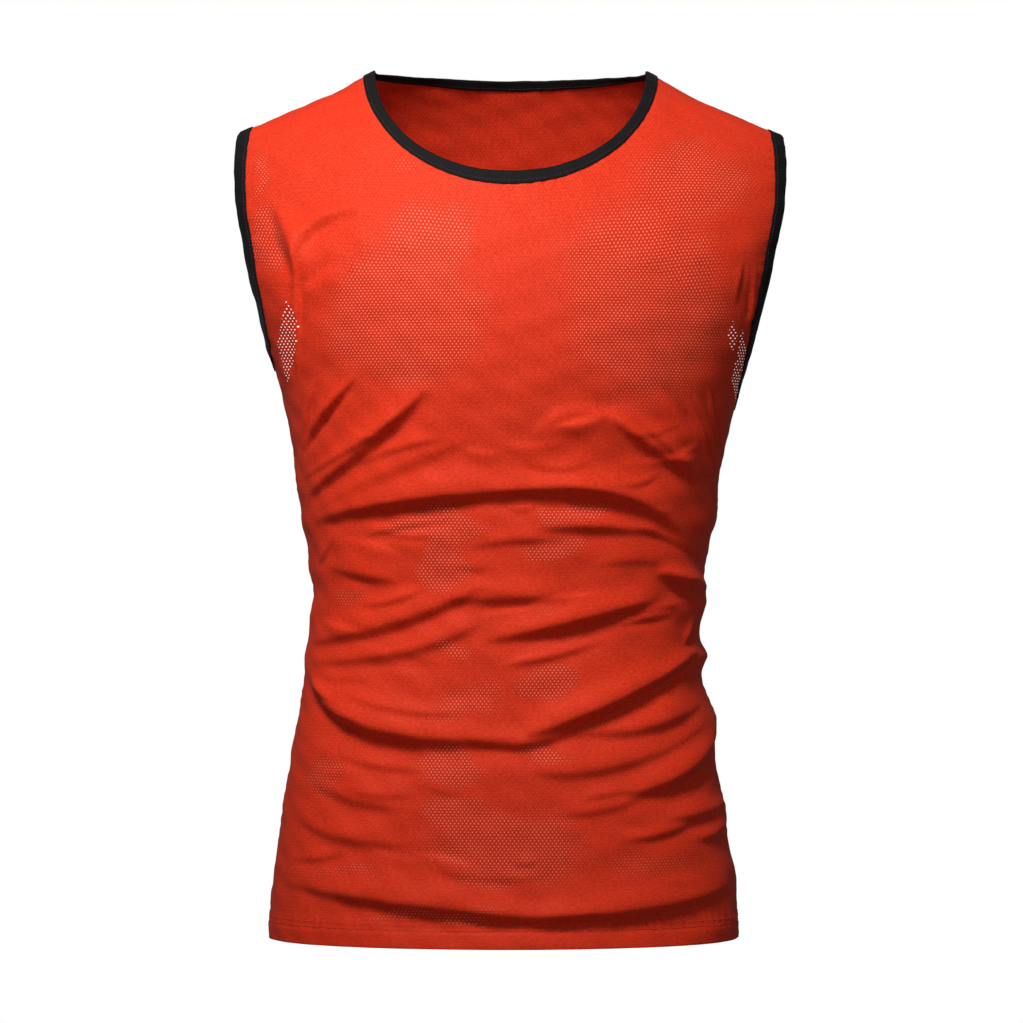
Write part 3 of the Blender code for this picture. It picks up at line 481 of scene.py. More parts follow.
LINT_SHARE = 0.4             # and their relief, in shares of the ribs'
TWIST_MM = 0.70              # the thread's twist along one axis, drawn coarse enough to show
WAVE_TURNS = 20.0            # Blender's straight bands turn by this many radians for each unit
FLOOR_CLOUD_MM = 333.0       # faint clouds in the floor's paint

# ---- the studio: the camera stands as the photograph's did ------------------------
PHOTO_PIXELS = 1023
METRES_PER_PIXEL = 0.0008
CAMERA_SENSOR_MM = 36.0
CAMERA_DISTANCE = 3.6
CAMERA_HEIGHT = -0.351
CAMERA_X = 0.0008
FLOOR_HALF = 2.0
FLOOR_DROP = 1.45
FLOOR_GLOW = 0.62            # keeps the far floor as pale as the room
SKY_STRENGTH = 0.09          # what the surroundings give as light
BACKDROP_STRENGTH = 1.0      # how pale they look


# ---- small mathematical helpers ---------------------------------------------
def smooth_lookup(places, values, wanted):
    """A smooth curve through a short table, read at the wanted places."""
    places = np.asarray(places, float)
    values = np.asarray(values, float)
    slopes = np.gradient(values, places)
    i = np.clip(np.searchsorted(places, wanted) - 1, 0, len(places) - 2)
    step = places[i + 1] - places[i]
    t = np.clip((wanted - places[i]) / step, 0.0, 1.0)
    rise = values[i + 1] - values[i]
    bend = t * t * (3.0 - 2.0 * t)
    ease_in = t * (1.0 - t) ** 2 * slopes[i]
    ease_out = t * t * (1.0 - t) * slopes[i + 1]
    return values[i] + rise * bend + step * (ease_in - ease_out)


def smooth_step(value):
    """From 0 to 1 with level ends."""
    t = np.clip(value, 0.0, 1.0)
    return t * t * (3.0 - 2.0 * t)


def unit_rows(rows):
    """Each row as a vector of length 1."""
    return rows / np.linalg.norm(rows, axis=1, keepdims=True)


def run_along(points):
    """Distance passed along a polyline at each of its points."""
    lengths = np.linalg.norm(np.diff(points, axis=0), axis=1)
    return np.concatenate([[0.0], np.cumsum(lengths)])


def read_columns(values, along, wanted):
    """Rows of values, given at some distances along a line, read at others."""
    return np.stack([np.interp(wanted, along, column) for column in values.T], axis=1)


def even_stations(points, step):
    """Points an even distance apart along a polyline, both ends kept."""
    points = np.asarray(points, float)
    along = run_along(points)
    count = max(2, round(along[-1] / step) + 1)
    return read_columns(points, along, np.linspace(0.0, along[-1], count))


def grid_quads(numbers):
    """Four-sided faces between the neighbouring rows and columns of numbered points."""
    a, b = numbers[:-1, :-1].ravel(), numbers[:-1, 1:].ravel()
    c, d = numbers[1:, 1:].ravel(), numbers[1:, :-1].ravel()
    return np.stack([a, b, c, d], axis=1)


# ---- the figure that the cloth lies on ---------------------------------------
def section_sizes(face, across, drop):
    """Half breadth and depth of the figure at a drop, for each point's own side."""
    drops = [row.drop for row in SECTIONS]
    left = smooth_lookup(drops, [row.left for row in SECTIONS], drop)
    right = smooth_lookup(drops, [row.right for row in SECTIONS], drop)
    depths = [row.front if face == FRONT else row.back for row in SECTIONS]
    return np.where(across < 0.0, left, right), smooth_lookup(drops, depths, drop)


def ridge_height(across):
    """Height of the shoulder ridge over a place across the cloth."""
    inner = np.sqrt((across - RIDGE_CENTRE) ** 2 + APEX_SOFTNESS ** 2)
    past_tip = np.abs(across) - SHOULDER_TIP - TIP_SOFTNESS
    outer = (past_tip + np.sqrt(past_tip ** 2 + TIP_SOFTNESS ** 2)) / 2.0
    start = math.hypot(NECK_HALF, APEX_SOFTNESS)
    from_neck = (np.abs(across) - NECK_HALF) / NECK_STAND_REACH
    stand = np.where(across < 0.0, NECK_STAND[LEFT], NECK_STAND[RIGHT])
    stand = stand * np.exp(-(from_neck ** 2))
    return stand - RAW_EDGE_DROP - SHOULDER_SLOPE * (inner - start - outer)


def roll_at(cloth_down):
    """Fall below the ridge, and share of full depth, after some cloth below the ridge."""
    angle = math.pi / 2.0 * np.clip(cloth_down / ROLL_CLOTH, 0.0, 1.0)
    straight = np.maximum(cloth_down - ROLL_CLOTH, 0.0)
    fall = ROLL_HEIGHT * (1.0 - np.cos(angle)) + straight
    return fall, np.sin(angle)


def arc_table(half, depth):
    """Angles round a quarter section, and the cloth used up to each of them."""
    angles = np.linspace(0.0, math.pi / 2.0, ARC_STEPS + 1)
    x = half[:, None] * np.sin(angles)
    y = depth[:, None] * np.cos(angles).clip(0.0) ** FULLNESS
    steps = np.hypot(np.diff(x, axis=1), np.diff(y, axis=1))
    used = np.concatenate([np.zeros((len(half), 1)), np.cumsum(steps, axis=1)], axis=1)
    return angles, used


def angle_after(cloth, half, depth):
    """The angle round the section that a length of cloth reaches from its middle."""
    angles, used = arc_table(half, depth)
    i = np.clip((used < cloth[:, None]).sum(axis=1) - 1, 0, len(angles) - 2)
    row = np.arange(len(cloth))
    share = (cloth - used[row, i]) / (used[row, i + 1] - used[row, i])
    return angles[i] + np.clip(share, 0.0, 1.0) * (angles[i + 1] - angles[i])


def bare_form(face, across, down):
    """Lay places of the flat cloth on the figure, without any fold."""
    ridge = ridge_height(across)
    fall, roll = roll_at(down + ridge)
    z = ridge - fall
    half, depth = section_sizes(face, across, -z)
    angle = angle_after(np.abs(across), half, depth * roll)
    x = np.sign(across) * half * np.sin(angle)
    y = face * depth * roll * np.cos(angle).clip(0.0) ** FULLNESS
    return np.stack([x, y, z], axis=1)


def cloth_place(face, side, degrees, drop):
    """The flat place (across, down) of a point given by its turn round the body."""
    angle = np.radians(np.atleast_1d(degrees).astype(float))
    z = -np.atleast_1d(drop).astype(float)
    half, depth = section_sizes(face, np.full_like(z, side), -z)
    across = half * np.sin(angle)
    for _ in range(SETTLE_ROUNDS):
        ridge = ridge_height(across)
        fall = np.maximum(ridge - z, 0.0)
        cosine = np.clip(1.0 - fall / ROLL_HEIGHT, 0.0, 1.0)
        cloth = np.arccos(cosine) * 2.0 / math.pi * ROLL_CLOTH
        cloth = cloth + np.maximum(fall - ROLL_HEIGHT, 0.0)
        _, roll = roll_at(cloth)
        angles, used = arc_table(half, depth * roll)
        across = np.array([np.interp(a, angles, row) for a, row in zip(angle, used)])
    return side * across, cloth - ridge


def place_of_x(face, x, drop):
    """The same for a point given by how far it is seen from the centre line."""
    side = LEFT if x < 0.0 else RIGHT
    half, _ = section_sizes(face, np.array([side]), np.array([drop]))
    degrees = math.degrees(math.asin(min(1.0, abs(x) / half[0])))
    across, down = cloth_place(face, side, degrees, drop)
    return across[0], down[0]


def cloth_to_seam(face, across, down):
    """Cloth from the panel's middle line out to the side seam, at each point's level."""
    heights = bare_form(face, across, down)[:, 2]
    half, depth = section_sizes(face, across, -heights)
    _, roll = roll_at(down + ridge_height(across))
    _, used = arc_table(half, depth * roll)
    return used[:, -1]


def form_normals(face, across, down):
    """Unit normals of the bare form, pointing out of the body."""
    along_x = bare_form(face, across + PROBE, down) - bare_form(face, across - PROBE, down)
    along_z = bare_form(face, across, down + PROBE) - bare_form(face, across, down - PROBE)
    return unit_rows(face * np.cross(along_x, along_z))


# ---- folds -------------------------------------------------------------------
def fold_path(face, fold):
    """A curve through the fold's three places, in (cloth across, height)."""
    places = []
    for x, drop in ((fold.x0, fold.d0), (fold.x1, fold.d1), (fold.x2, fold.d2)):
        across, _ = place_of_x(face, x / 1000.0, drop / 1000.0)
        places.append(np.array([across, -drop / 1000.0]))
    start, middle, end = places
    control = 2.0 * middle - (start + end) / 2.0
    t = np.linspace(0.0, 1.0, FOLD_STEPS + 1)[:, None]
    return (1 - t) ** 2 * start + 2 * t * (1 - t) * control + t * t * end


def path_distance(points, path):
    """Signed distance to a path (+ above it), and the share of the path passed."""
    starts, spans = path[:-1], np.diff(path, axis=0)
    offset = points[:, None, :] - starts
    share = np.einsum("nsk,sk->ns", offset, spans) / (spans ** 2).sum(axis=1)
    share = np.clip(share, 0.0, 1.0)
    gap = offset - share[:, :, None] * spans
    reach = np.hypot(gap[:, :, 0], gap[:, :, 1])
    nearest = reach.argmin(axis=1)
    row = np.arange(len(points))
    towards_right = np.where(spans[:, 0] < 0.0, -1.0, 1.0)[nearest]
    near_span, near_gap = spans[nearest], gap[row, nearest]
    turn = near_span[:, 0] * near_gap[:, 1] - near_span[:, 1] * near_gap[:, 0]
    passed = (nearest + share[row, nearest]) / len(spans)
    return reach[row, nearest] * np.sign(turn) * towards_right, passed


def fold_relief(traced, across, heights, share, shift):
    """How far some folds, given with their paths, lift each point off the bare form."""
    points = np.stack([across, heights], axis=1)
    relief = np.zeros(len(points))
    for fold, path in traced:
        width = fold.width / 1000.0
        margin = FOLD_REACH * width
        low, high = path.min(axis=0) - margin, path.max(axis=0) + margin
        near = np.flatnonzero(((points > low) & (points < high)).all(axis=1))
        distance, passed = path_distance(points[near], path)
        taper = np.sin(math.pi * passed)
        local_width = width * (END_WIDTH + (1.0 - END_WIDTH) * taper)
        u = fold.trough * distance / local_width + shift
        crest_width = np.where(u > 0.0, CREST_ABOVE, CREST_BELOW)
        crest = np.exp(-((u / crest_width) ** 2))
        trough_width = np.where(u > -TROUGH_AT, TROUGH_NEAR, TROUGH_FAR)
        trough = TROUGH_DEPTH * np.exp(-(((u + TROUGH_AT) / trough_width) ** 2))
        relief[near] += share * fold.height / 1000.0 * taper * (crest - trough)
    return relief


def bulge_relief(across, heights):
    """How far the puckered side seams stand out, the same on front and back."""
    relief = np.zeros(len(across))
    for side, rows in ((LEFT, LEFT_BULGES), (RIGHT, RIGHT_BULGES)):
        for bulge in rows:
            away = (heights + bulge.drop / 1000.0) / (bulge.reach / 1000.0)
            lift = bulge.out / 1000.0 * np.exp(-(away ** 2))
            relief += np.where(across * side > 0.0, lift, 0.0)
    return relief


# ---- cut lines of the panels ------------------------------------------------------
def armhole_line(face, side, step):
    """The raw armhole edge from the side seam up to the shoulder tip."""
    rows = FRONT_ARMHOLE if face == FRONT else BACK_ARMHOLE
    stops = np.arange(len(rows), dtype=float)
    fine = np.linspace(0.0, stops[-1], LINE_STEPS + 1)
    lowest, highest = rows[0].drop, rows[-1].drop
    stretch = (UNDERARM_DROP[side] - highest) / (lowest - highest)
    drops = smooth_lookup(stops, [row.drop for row in rows], fine)
    drops = highest + (drops - highest) * stretch
    degrees = smooth_lookup(stops, [row.degrees for row in rows], fine)
    across, down = cloth_place(face, side, degrees, drops)
    places = np.stack([across, down], axis=1)
    return even_stations(np.vstack([places, shoulder_point(side, SHOULDER_TIP)]), step)


def neck_line(face, step):
    """The raw neck edge from the right shoulder round to the left one."""
    depth = FRONT_NECK_DROP if face == FRONT else BACK_NECK_DROP
    squareness = 1.0 if face == FRONT else BACK_NECK_SQUARENESS
    right_end, left_end = shoulder_point(RIGHT, NECK_HALF), shoulder_point(LEFT, NECK_HALF)
    places = [right_end]
    for angle in np.linspace(0.0, math.pi, LINE_STEPS + 1)[1:-1]:
        share = (1.0 - math.cos(angle)) / 2.0
        level = right_end[1] + (left_end[1] - right_end[1]) * share
        drop = level + depth * math.sin(angle) ** squareness
        places.append(place_of_x(face, NECK_HALF * math.cos(angle), drop))
    places.append(left_end)
    return even_stations(places, step)


def side_line(face, side, step):
    """The side seam's line from the hem up to the underarm."""
    drops = np.linspace(BODY_LENGTH, UNDERARM_DROP[side], LINE_STEPS + 1)
    across, down = cloth_place(face, side, np.full(len(drops), 90.0), drops)
    return even_stations(np.stack([across, down], axis=1), step)


def shoulder_point(side, across):
    """A place on the shoulder seam."""
    return np.array([side * across, -float(ridge_height(side * across))])


def side_place(face, side, down):
    """The side seam's place at one distance down the cloth."""
    across, down = cloth_place(face, side, 90.0, down - WORN_EXTRA)
    return across[0], down[0]


def inside(points, outline):
    """Which points lie inside a closed outline."""
    x, y = points[:, 0][:, None], points[:, 1][:, None]
    x0, y0 = outline[:, 0], outline[:, 1]
    x1, y1 = np.roll(x0, -1), np.roll(y0, -1)
    level = (y0 > y) != (y1 > y)
    run = np.where(y1 == y0, SAME_POINT, y1 - y0)
    crossing = x < (x1 - x0) * (y - y0) / run + x0
    return (level & crossing).sum(axis=1) % 2 == 1


def clear_of(points, line, distance):
    """Which points keep a distance from a line, tested against its stations."""
    keep = np.ones(len(points), bool)
    for start in range(0, len(points), CLEAR_BATCH):
        batch = slice(start, start + CLEAR_BATCH)
        gap = points[batch][:, None, :] - line[None, :, :]
        keep[batch] = np.hypot(gap[:, :, 0], gap[:, :, 1]).min(axis=1) > distance
    return keep


# ---- the cloth's finer relief -------------------------------------------------
def small_creases(face):
    """Rows of little creases, drawn from the ranges above, the same on every run."""
    draw = random.Random(CREASE_SEED + (1 if face == FRONT else 2))
    rows = []
    for _ in range(SMALL_CREASES):
        x, drop = draw.uniform(*CREASE_X), draw.uniform(*CREASE_DROP)
        half = draw.uniform(*CREASE_LENGTH) / 2.0
        dip = -math.copysign(draw.uniform(0.0, CREASE_SLOPE), x) * half
        bow = draw.uniform(*CREASE_BOW) * half
        height, width = draw.uniform(*CREASE_HEIGHT), draw.uniform(*CREASE_WIDTH)
        side = draw.choice((1, -1))
        left = max(x - half, CREASE_X[0])
        right = min(x + half, CREASE_X[1])
        rows.append(Fold(left, drop - dip, x, drop + bow, right, drop + dip, height, width, side))
    return rows


@functools.cache
def traced_folds(face, fine):
    """The main or the fine folds of one panel, each with the path that it follows."""
    if fine:
        folds = FINE_FRONT_FOLDS if face == FRONT else FINE_BACK_FOLDS
        folds = folds + small_creases(face)
    else:
        folds = FRONT_FOLDS if face == FRONT else BACK_FOLDS
    return [(fold, fold_path(face, fold)) for fold in folds]


def uneven_wave(along, wave):
    """A little wave along a line of sewing, never quite regular."""
    mean, change = WAVE_SIZES
    turn, start = SIZE_TURN
    size = mean + change * np.sin(along * turn + start)
    phase = along * 2.0 * math.pi / wave
    for reach, speed in LENGTH_TURNS:
        phase = phase + reach * np.sin(along * speed)
    return size * np.sin(phase)


def beside_sewing(distance, along):
    """Puckers that die out away from a line of sewing."""
    fade = np.exp(-((distance / PUCKER_REACH) ** 2))
    return PUCKER * fade * uneven_wave(along, PUCKER_WAVE)


def ripples(across, down):
    """Slow, shallow unevenness of knitted cloth."""
    lift = np.zeros(len(across))
    reach, speed = RIPPLE_BEND
    for number, ripple in enumerate(RIPPLES):
        way = across * math.cos(ripple.turn) + down * math.sin(ripple.turn)
        other = across * math.sin(ripple.turn) - down * math.cos(ripple.turn)
        bend = reach * np.sin(other * speed)
        lift += np.sin(way * 2.0 * math.pi / ripple.wave + number + bend)
    return RIPPLE * lift


Reading = namedtuple("Reading", "bare normals folds to_seam to_ridge")


def read_form(face, across, down):
    """The bare form, its normals, the folds' relief, and the distances to the seams."""
    across, down = np.atleast_1d(across), np.atleast_1d(down)
    bare = bare_form(face, across, down)
    heights = bare[:, 2]
    to_ridge = down + ridge_height(across)
    to_seam = np.maximum(cloth_to_seam(face, across, down) - np.abs(across), 0.0)
    main_folds, fine_folds = traced_folds(face, False), traced_folds(face, True)
    folds = fold_relief(main_folds, across, heights, FOLD_SHARE, FOLD_SHIFT)
    folds *= smooth_step(to_seam / SIDE_FADE)
    fine = fold_relief(fine_folds, across, heights, 1.0, 0.0)
    folds += fine * smooth_step(to_seam / FINE_FADE)
    near_seam = np.exp(-((to_seam / BULGE_REACH_IN) ** 2))
    folds += bulge_relief(across, heights) * near_seam
    return Reading(bare, form_normals(face, across, down), folds, to_seam, to_ridge)


def kept_on_panel(face, places):
    """The same places, none of them past the side seam or over the shoulder ridge."""
    across, down = places.T
    down = np.maximum(down, -ridge_height(across))
    most = cloth_to_seam(face, across, down)
    return np.stack([np.clip(across, -most, most), down], axis=1)


def cloth_at(face, across, down, lift):
    """Points of the worn cloth, lifted off its inner face by the given amounts."""
    read = read_form(face, across, down)
    slow = ripples(np.atleast_1d(across), np.atleast_1d(down))
    return read.bare + (read.folds + slow + lift)[:, None] * read.normals


def above_hem(down):
    """How far up from the hem's fold a place lies."""
    return HEM_DOWN - down


def sewn_lift(face, across, down, read):
    """Lift of the visible cloth: middle of its wall, hem, needle rows, seams, puckers."""
    up = above_hem(down)
    lift = np.full(len(across), CLOTH_MIDDLE)
    lift += HEM_PROUD * smooth_step((HEM_DEPTH - up) / HEM_STEP_SOFT + 0.5)
    for row in NEEDLE_ROWS:
        lift -= NEEDLE_SINK * np.exp(-(((up - row) / NEEDLE_SOFT) ** 2))
    for gap in (read.to_seam, read.to_ridge):
        lift -= SEAM_ROLL * np.clip(1.0 - gap / SEAM_ROLL_REACH, 0.0, 1.0) ** 2
    lift += beside_sewing(np.abs(up - NEEDLE_ROWS[0]), across)
    lift += beside_sewing(read.to_seam, down)
    points = np.stack([across, down], axis=1)
    bound = [(neck_line(face, EDGE_STEP), NECK_TAPE)]
    bound += [(armhole_line(face, side, EDGE_STEP), ARMHOLE_TAPE) for side in SIDES]
    for line, width in bound:
        reach, passed = path_distance(points, line)
        lift += beside_sewing(np.abs(np.abs(reach) - width), passed * run_along(line)[-1])
    return lift


def drawn_open(patches, read):
    """How far each place lies within some patches, their borders never quite even."""
    x, drop = read.bare[:, 0] * 1000.0, -read.bare[:, 2] * 1000.0
    for wave, turn, sway in PATCH_SWAYS:
        way = (x * math.cos(turn) + drop * math.sin(turn)) * 2.0 * math.pi / wave
        x = x + sway * np.sin(way)
        drop = drop + sway * np.cos(way + turn)
    most = np.zeros(len(x))
    for patch in patches:
        away = np.hypot((x - patch.x) / patch.wide, (drop - patch.drop) / patch.tall)
        most = np.maximum(most, patch.open * smooth_step((PATCH_RIM - away) / PATCH_SOFT))
    return most


def clearness_at(face, read):
    """Above CLEAR_EDGE within the small pointed patches whose eyelets get painted light and a
    painted glow for the room seen through them.
    """
    x, drop = read.bare[:, 0] * 1000.0, -read.bare[:, 2] * 1000.0
    most = np.zeros(len(x))
    for patch in CLEAR_PATCHES if face == FRONT else []:
        away = np.abs(x - patch.x) / patch.wide + np.abs(drop - patch.drop) / patch.tall
        most = np.maximum(most, patch.open * np.clip(1.0 + CLEAR_EDGE - away, 0.0, 1.0))
    return most


def openness_at(face, read):
    """How far the knit is drawn open, from 0 to 1."""
    open_by = drawn_open(FRONT_PATCHES if face == FRONT else BACK_PATCHES, read)
    ridge = np.clip(read.folds * 1000.0, 0.0, RIDGE_MOST)
    return np.clip(KNIT_SHUT + open_by - SHUT_BY_RIDGE * ridge, 0.0, 1.0)


# ---- the flat panels, cut into small triangles -----------------------------------
def panel_outline(face):
    """The closed cut line of one panel, from the hem's left end."""
    right, left = side_line(face, RIGHT, EDGE_STATIONS), side_line(face, LEFT, EDGE_STATIONS)
    hem = even_stations([[left[0, 0], HEM_DOWN], [right[0, 0], HEM_DOWN]], EDGE_STATIONS)
    across = np.linspace(NECK_HALF, SHOULDER_TIP, LINE_STEPS // 2)
    shoulders = {s: np.array([shoulder_point(s, a) for a in across]) for s in SIDES}
    stretches = [
        hem,
        right[1:],
        armhole_line(face, RIGHT, EDGE_STATIONS)[1:],
        shoulders[RIGHT][::-1][1:],
        neck_line(face, EDGE_STATIONS)[1:],
        shoulders[LEFT][1:],
        armhole_line(face, LEFT, EDGE_STATIONS)[::-1][1:],
        left[::-1][1:-1],
    ]
    return np.vstack(stretches)


def flat_panel(face):
    """Flat points and triangles of one panel."""
    outline = panel_outline(face)
    row_step = SHELL_STEP * math.sqrt(3.0) / 2.0
    rows = np.arange(outline[:, 1].min(), outline[:, 1].max(), row_step)
    reach = np.abs(outline[:, 0]).max()
    columns = np.arange(-reach, reach, SHELL_STEP)
    loose = []
    for number, down in enumerate(rows):
        shifted = columns + SHELL_STEP / 2.0 * (number % 2)
        loose.append(np.stack([shifted, np.full(len(shifted), down)], axis=1))
    loose = np.vstack(loose)
    loose = loose[inside(loose, outline)]
    loose = loose[clear_of(loose, outline, SHELL_CLEAR)]
    points = [Vector(p) for p in np.vstack([outline, loose])]
    cut = delaunay_2d_cdt(points, [], [list(range(len(outline)))], 1, SAME_POINT)
    flat = np.array([tuple(p) for p in cut[0]])
    faces = np.array([tuple(f) for f in cut[2]])
    faces = faces[inside(flat[faces].mean(axis=1), outline)]
    return halve_triangles(flat, faces)


def halve_triangles(flat, faces):
    """Each triangle cut into four at the middles of its edges."""
    edges = np.sort(np.vstack([faces[:, [0, 1]], faces[:, [1, 2]], faces[:, [2, 0]]]), axis=1)
    unique, where = np.unique(edges, axis=0, return_inverse=True)
    middles = flat[unique].mean(axis=1)
    where = where.reshape(3, -1) + len(flat)
    a, b, c = faces.T
    ab, bc, ca = where
    smaller = [(a, ab, ca), (ab, b, bc), (ca, bc, c), (ab, bc, ca)]
    return np.vstack([flat, middles]), np.vstack([np.stack(t, axis=1) for t in smaller])


def facing_out(face, flat, faces):
    """The triangles, turned so that their normals point out of the body."""
    a, b, c = (flat[faces[:, k]] for k in range(3))
    turn = (b[:, 0] - a[:, 0]) * (c[:, 1] - a[:, 1]) - (b[:, 1] - a[:, 1]) * (c[:, 0] - a[:, 0])
    wrong = (turn > 0.0) == (face == FRONT)
    faces = faces.copy()
    faces[wrong] = faces[wrong][:, ::-1]
    return faces


# ---- meshes ----------------------------------------------------------------------
def new_piece(name, points, faces, material, uv=None, spreads=None):
    """A smooth mesh object, with its cloth places as UVs and its named values if given."""
    mesh = bpy.data.meshes.new(name)
    mesh.from_pydata([tuple(p) for p in points], [], [tuple(int(i) for i in f) for f in faces])
    mesh.shade_smooth()
    if uv is not None:
        corners = np.empty(len(mesh.loops), dtype=np.int32)
        mesh.loops.foreach_get("vertex_index", corners)
        layer = mesh.uv_layers.new(name=UV_NAME)
        layer.uv.foreach_set("vector", np.asarray(uv)[corners].astype(np.float32).ravel())
    for value_name, values in (spreads or {}).items():
        spread = mesh.attributes.new(value_name, "FLOAT", "POINT")
        spread.data.foreach_set("value", np.asarray(values, dtype=np.float32))
    mesh.materials.append(material)
    piece = bpy.data.objects.new(name, mesh)
    bpy.context.scene.collection.objects.link(piece)
    return piece


def turned_hem(face, flat, start):
    """The hem's turn-up: rows of points from the fold up the inside, and their faces."""
    bottom = np.flatnonzero(flat[:, 1] > HEM_DOWN - ON_LINE)
    bottom = bottom[np.argsort(flat[bottom, 0])]
    across = flat[bottom, 0]
    radius = HEM_LAYER_GAP / 2.0
    middle = CLOTH_MIDDLE + HEM_PROUD - radius
    rows = []
    for k in range(1, HEM_TURN_STEPS + 1):
        angle = math.pi * k / HEM_TURN_STEPS
        rows.append((HEM_DOWN + radius * math.sin(angle), middle + radius * math.cos(angle)))
    for k in range(1, HEM_INNER_ROWS + 1):
        rows.append((HEM_DOWN - HEM_TURNED * k / HEM_INNER_ROWS, middle - radius))
    points, places, numbers = [], [], [bottom]
    for number, (down, lift) in enumerate(rows):
        level = np.full(len(across), down)
        inside_seams = kept_on_panel(face, np.stack([across, level], axis=1))
        points.append(cloth_at(face, *inside_seams.T, lift))
        pattern = np.full(len(across), HEM_DOWN + HEM_UV_STEP * number)
        places.append(np.stack([across, pattern], axis=1))
        numbers.append(start + number * len(across) + np.arange(len(across)))
    quads = grid_quads(np.array(numbers))
    faces = quads[:, ::-1] if face == FRONT else quads
    return np.vstack(points), np.vstack(places), faces


def build_panel(name, face, material):
    """One panel of thin cloth with its turned-up hem, its normals pointing out."""
    flat, faces = flat_panel(face)
    faces = facing_out(face, flat, faces)
    across, down = flat.T
    read = read_form(face, across, down)
    lift = sewn_lift(face, across, down, read) + ripples(across, down) + read.folds
    worn = read.bare + lift[:, None] * read.normals
    hem_points, hem_places, hem_faces = turned_hem(face, flat, len(flat))
    openness = openness_at(face, read)
    openness[above_hem(down) < HEM_DEPTH] *= HEM_SHUT
    clearness = clearness_at(face, read)
    turn_up = np.zeros(len(hem_points))
    spreads = {
        OPENNESS_NAME: np.concatenate([openness, turn_up]),
        CLEARNESS_NAME: np.concatenate([clearness, turn_up]),
    }
    points = np.vstack([worn, hem_points])
    uv = np.vstack([flat, hem_places])
    return new_piece(name, points, faces.tolist() + hem_faces.tolist(), material, uv, spreads)


# ---- rings of binding tape -----------------------------------------------------------
def ring_stretches(kind, side, step):
    """The flat edge lines of one ring, each with its face and inward directions."""
    stretches = []
    for face in (FRONT, BACK):
        if kind == "neck":
            line, turn = neck_line(face, step), -1.0
            outer = NECK_HALF + CORNER_REACH
            ends = shoulder_point(RIGHT, outer), shoulder_point(LEFT, outer)
        else:
            line, turn = armhole_line(face, side, step), -side
            below = line[0] + np.array([0.0, CORNER_REACH])
            ends = below, shoulder_point(side, SHOULDER_TIP - CORNER_REACH)
        direction = np.gradient(line, axis=0)
        sideways = turn * np.stack([-direction[:, 1], direction[:, 0]], axis=1)
        sideways[0], sideways[-1] = ends[0] - line[0], ends[1] - line[-1]
        sideways = unit_rows(sideways)
        if face == BACK:
            line, sideways = line[::-1], sideways[::-1]
        stretches.append((face, line, sideways))
    return stretches


def closed_ring(parts):
    """Two stretches of rows joined into a ring, the shared ends averaged."""
    first, second = parts
    first[-1] = (first[-1] + second[0]) / 2.0
    second[-1] = (second[-1] + first[0]) / 2.0
    return np.concatenate([first[1:], second[1:]])


def ring_points(kind, side, step, into, off):
    """Points round a ring, some way in from the raw edge and off the cloth's middle."""
    parts = []
    for face, line, sideways in ring_stretches(kind, side, step):
        wide = np.ones(len(line))
        if kind != "neck" and face == FRONT:
            below = (line[:, 1] - WORN_EXTRA - FULLER_DROP) / FULLER_REACH
            wide += TAPE_FULLER * np.exp(-(below ** 2))
        place = kept_on_panel(face, line + sideways * (max(into, 0.0) * wide)[:, None])
        wave = TAPE_WAVE * uneven_wave(run_along(line) + face, TAPE_WAVE_LENGTH) * np.sign(off)
        lift = CLOTH_MIDDLE + off + wave
        at = cloth_at(face, *place.T, lift)
        if into < 0.0:
            inner = kept_on_panel(face, line + sideways * TAPE_PROBE)
            at = at - into * unit_rows(at - cloth_at(face, *inner.T, lift))
        parts.append(at)
    return closed_ring(parts)


def tape_profile(width):
    """The folded tape's section: (into the panel, off the cloth), free edge to free edge."""
    near, far = TAPE_OFF_CLOTH, TAPE_OFF_CLOTH + TAPE_PLY
    leg = [
        (width, near / 2.0),
        (width + TAPE_EDGE_ROUND, (near + far) / 2.0),
        (width - TAPE_EDGE_ROUND, far),
    ]
    leg += [(width * share, far) for share in TAPE_LEG_SHARES]
    turn = []
    for angle in np.radians(TAPE_FOLD_DEGREES):
        turn.append((-TAPE_FOLD * math.cos(angle), far * math.sin(angle)))
    return leg + turn + [(into, -off) for into, off in leg[::-1]]


def build_tape(tape, material):
    """One binding: the folded section, carried round its opening."""
    profile = tape_profile(tape.leg)
    columns = [ring_points(tape.kind, tape.side, TAPE_STEP, into, off) for into, off in profile]
    grid = np.stack(columns, axis=1)
    rows, wide = grid.shape[:2]
    numbers = np.arange(rows * wide).reshape(rows, wide)
    faces = grid_quads(np.vstack([numbers, numbers[:1]]))
    if tape.side == RIGHT:
        faces = faces[:, ::-1]
    along, over = np.arange(rows) * TAPE_STEP, run_along(np.array(profile))
    uv = np.stack(np.meshgrid(along, over, indexing="ij"), axis=2).reshape(-1, 2)
    return new_piece(tape.name, grid.reshape(-1, 3), faces, material, uv)


def tape_cut(tape):
    """Length and width of the flat strip that one binding is folded from."""
    ring = ring_points(tape.kind, tape.side, TAPE_STEP, TAPE_MIDDLE, 0.0)
    length = float(np.linalg.norm(ring - np.roll(ring, 1, axis=0), axis=1).sum())
    return length, 2.0 * tape.leg + math.pi * (TAPE_OFF_CLOTH + TAPE_PLY)


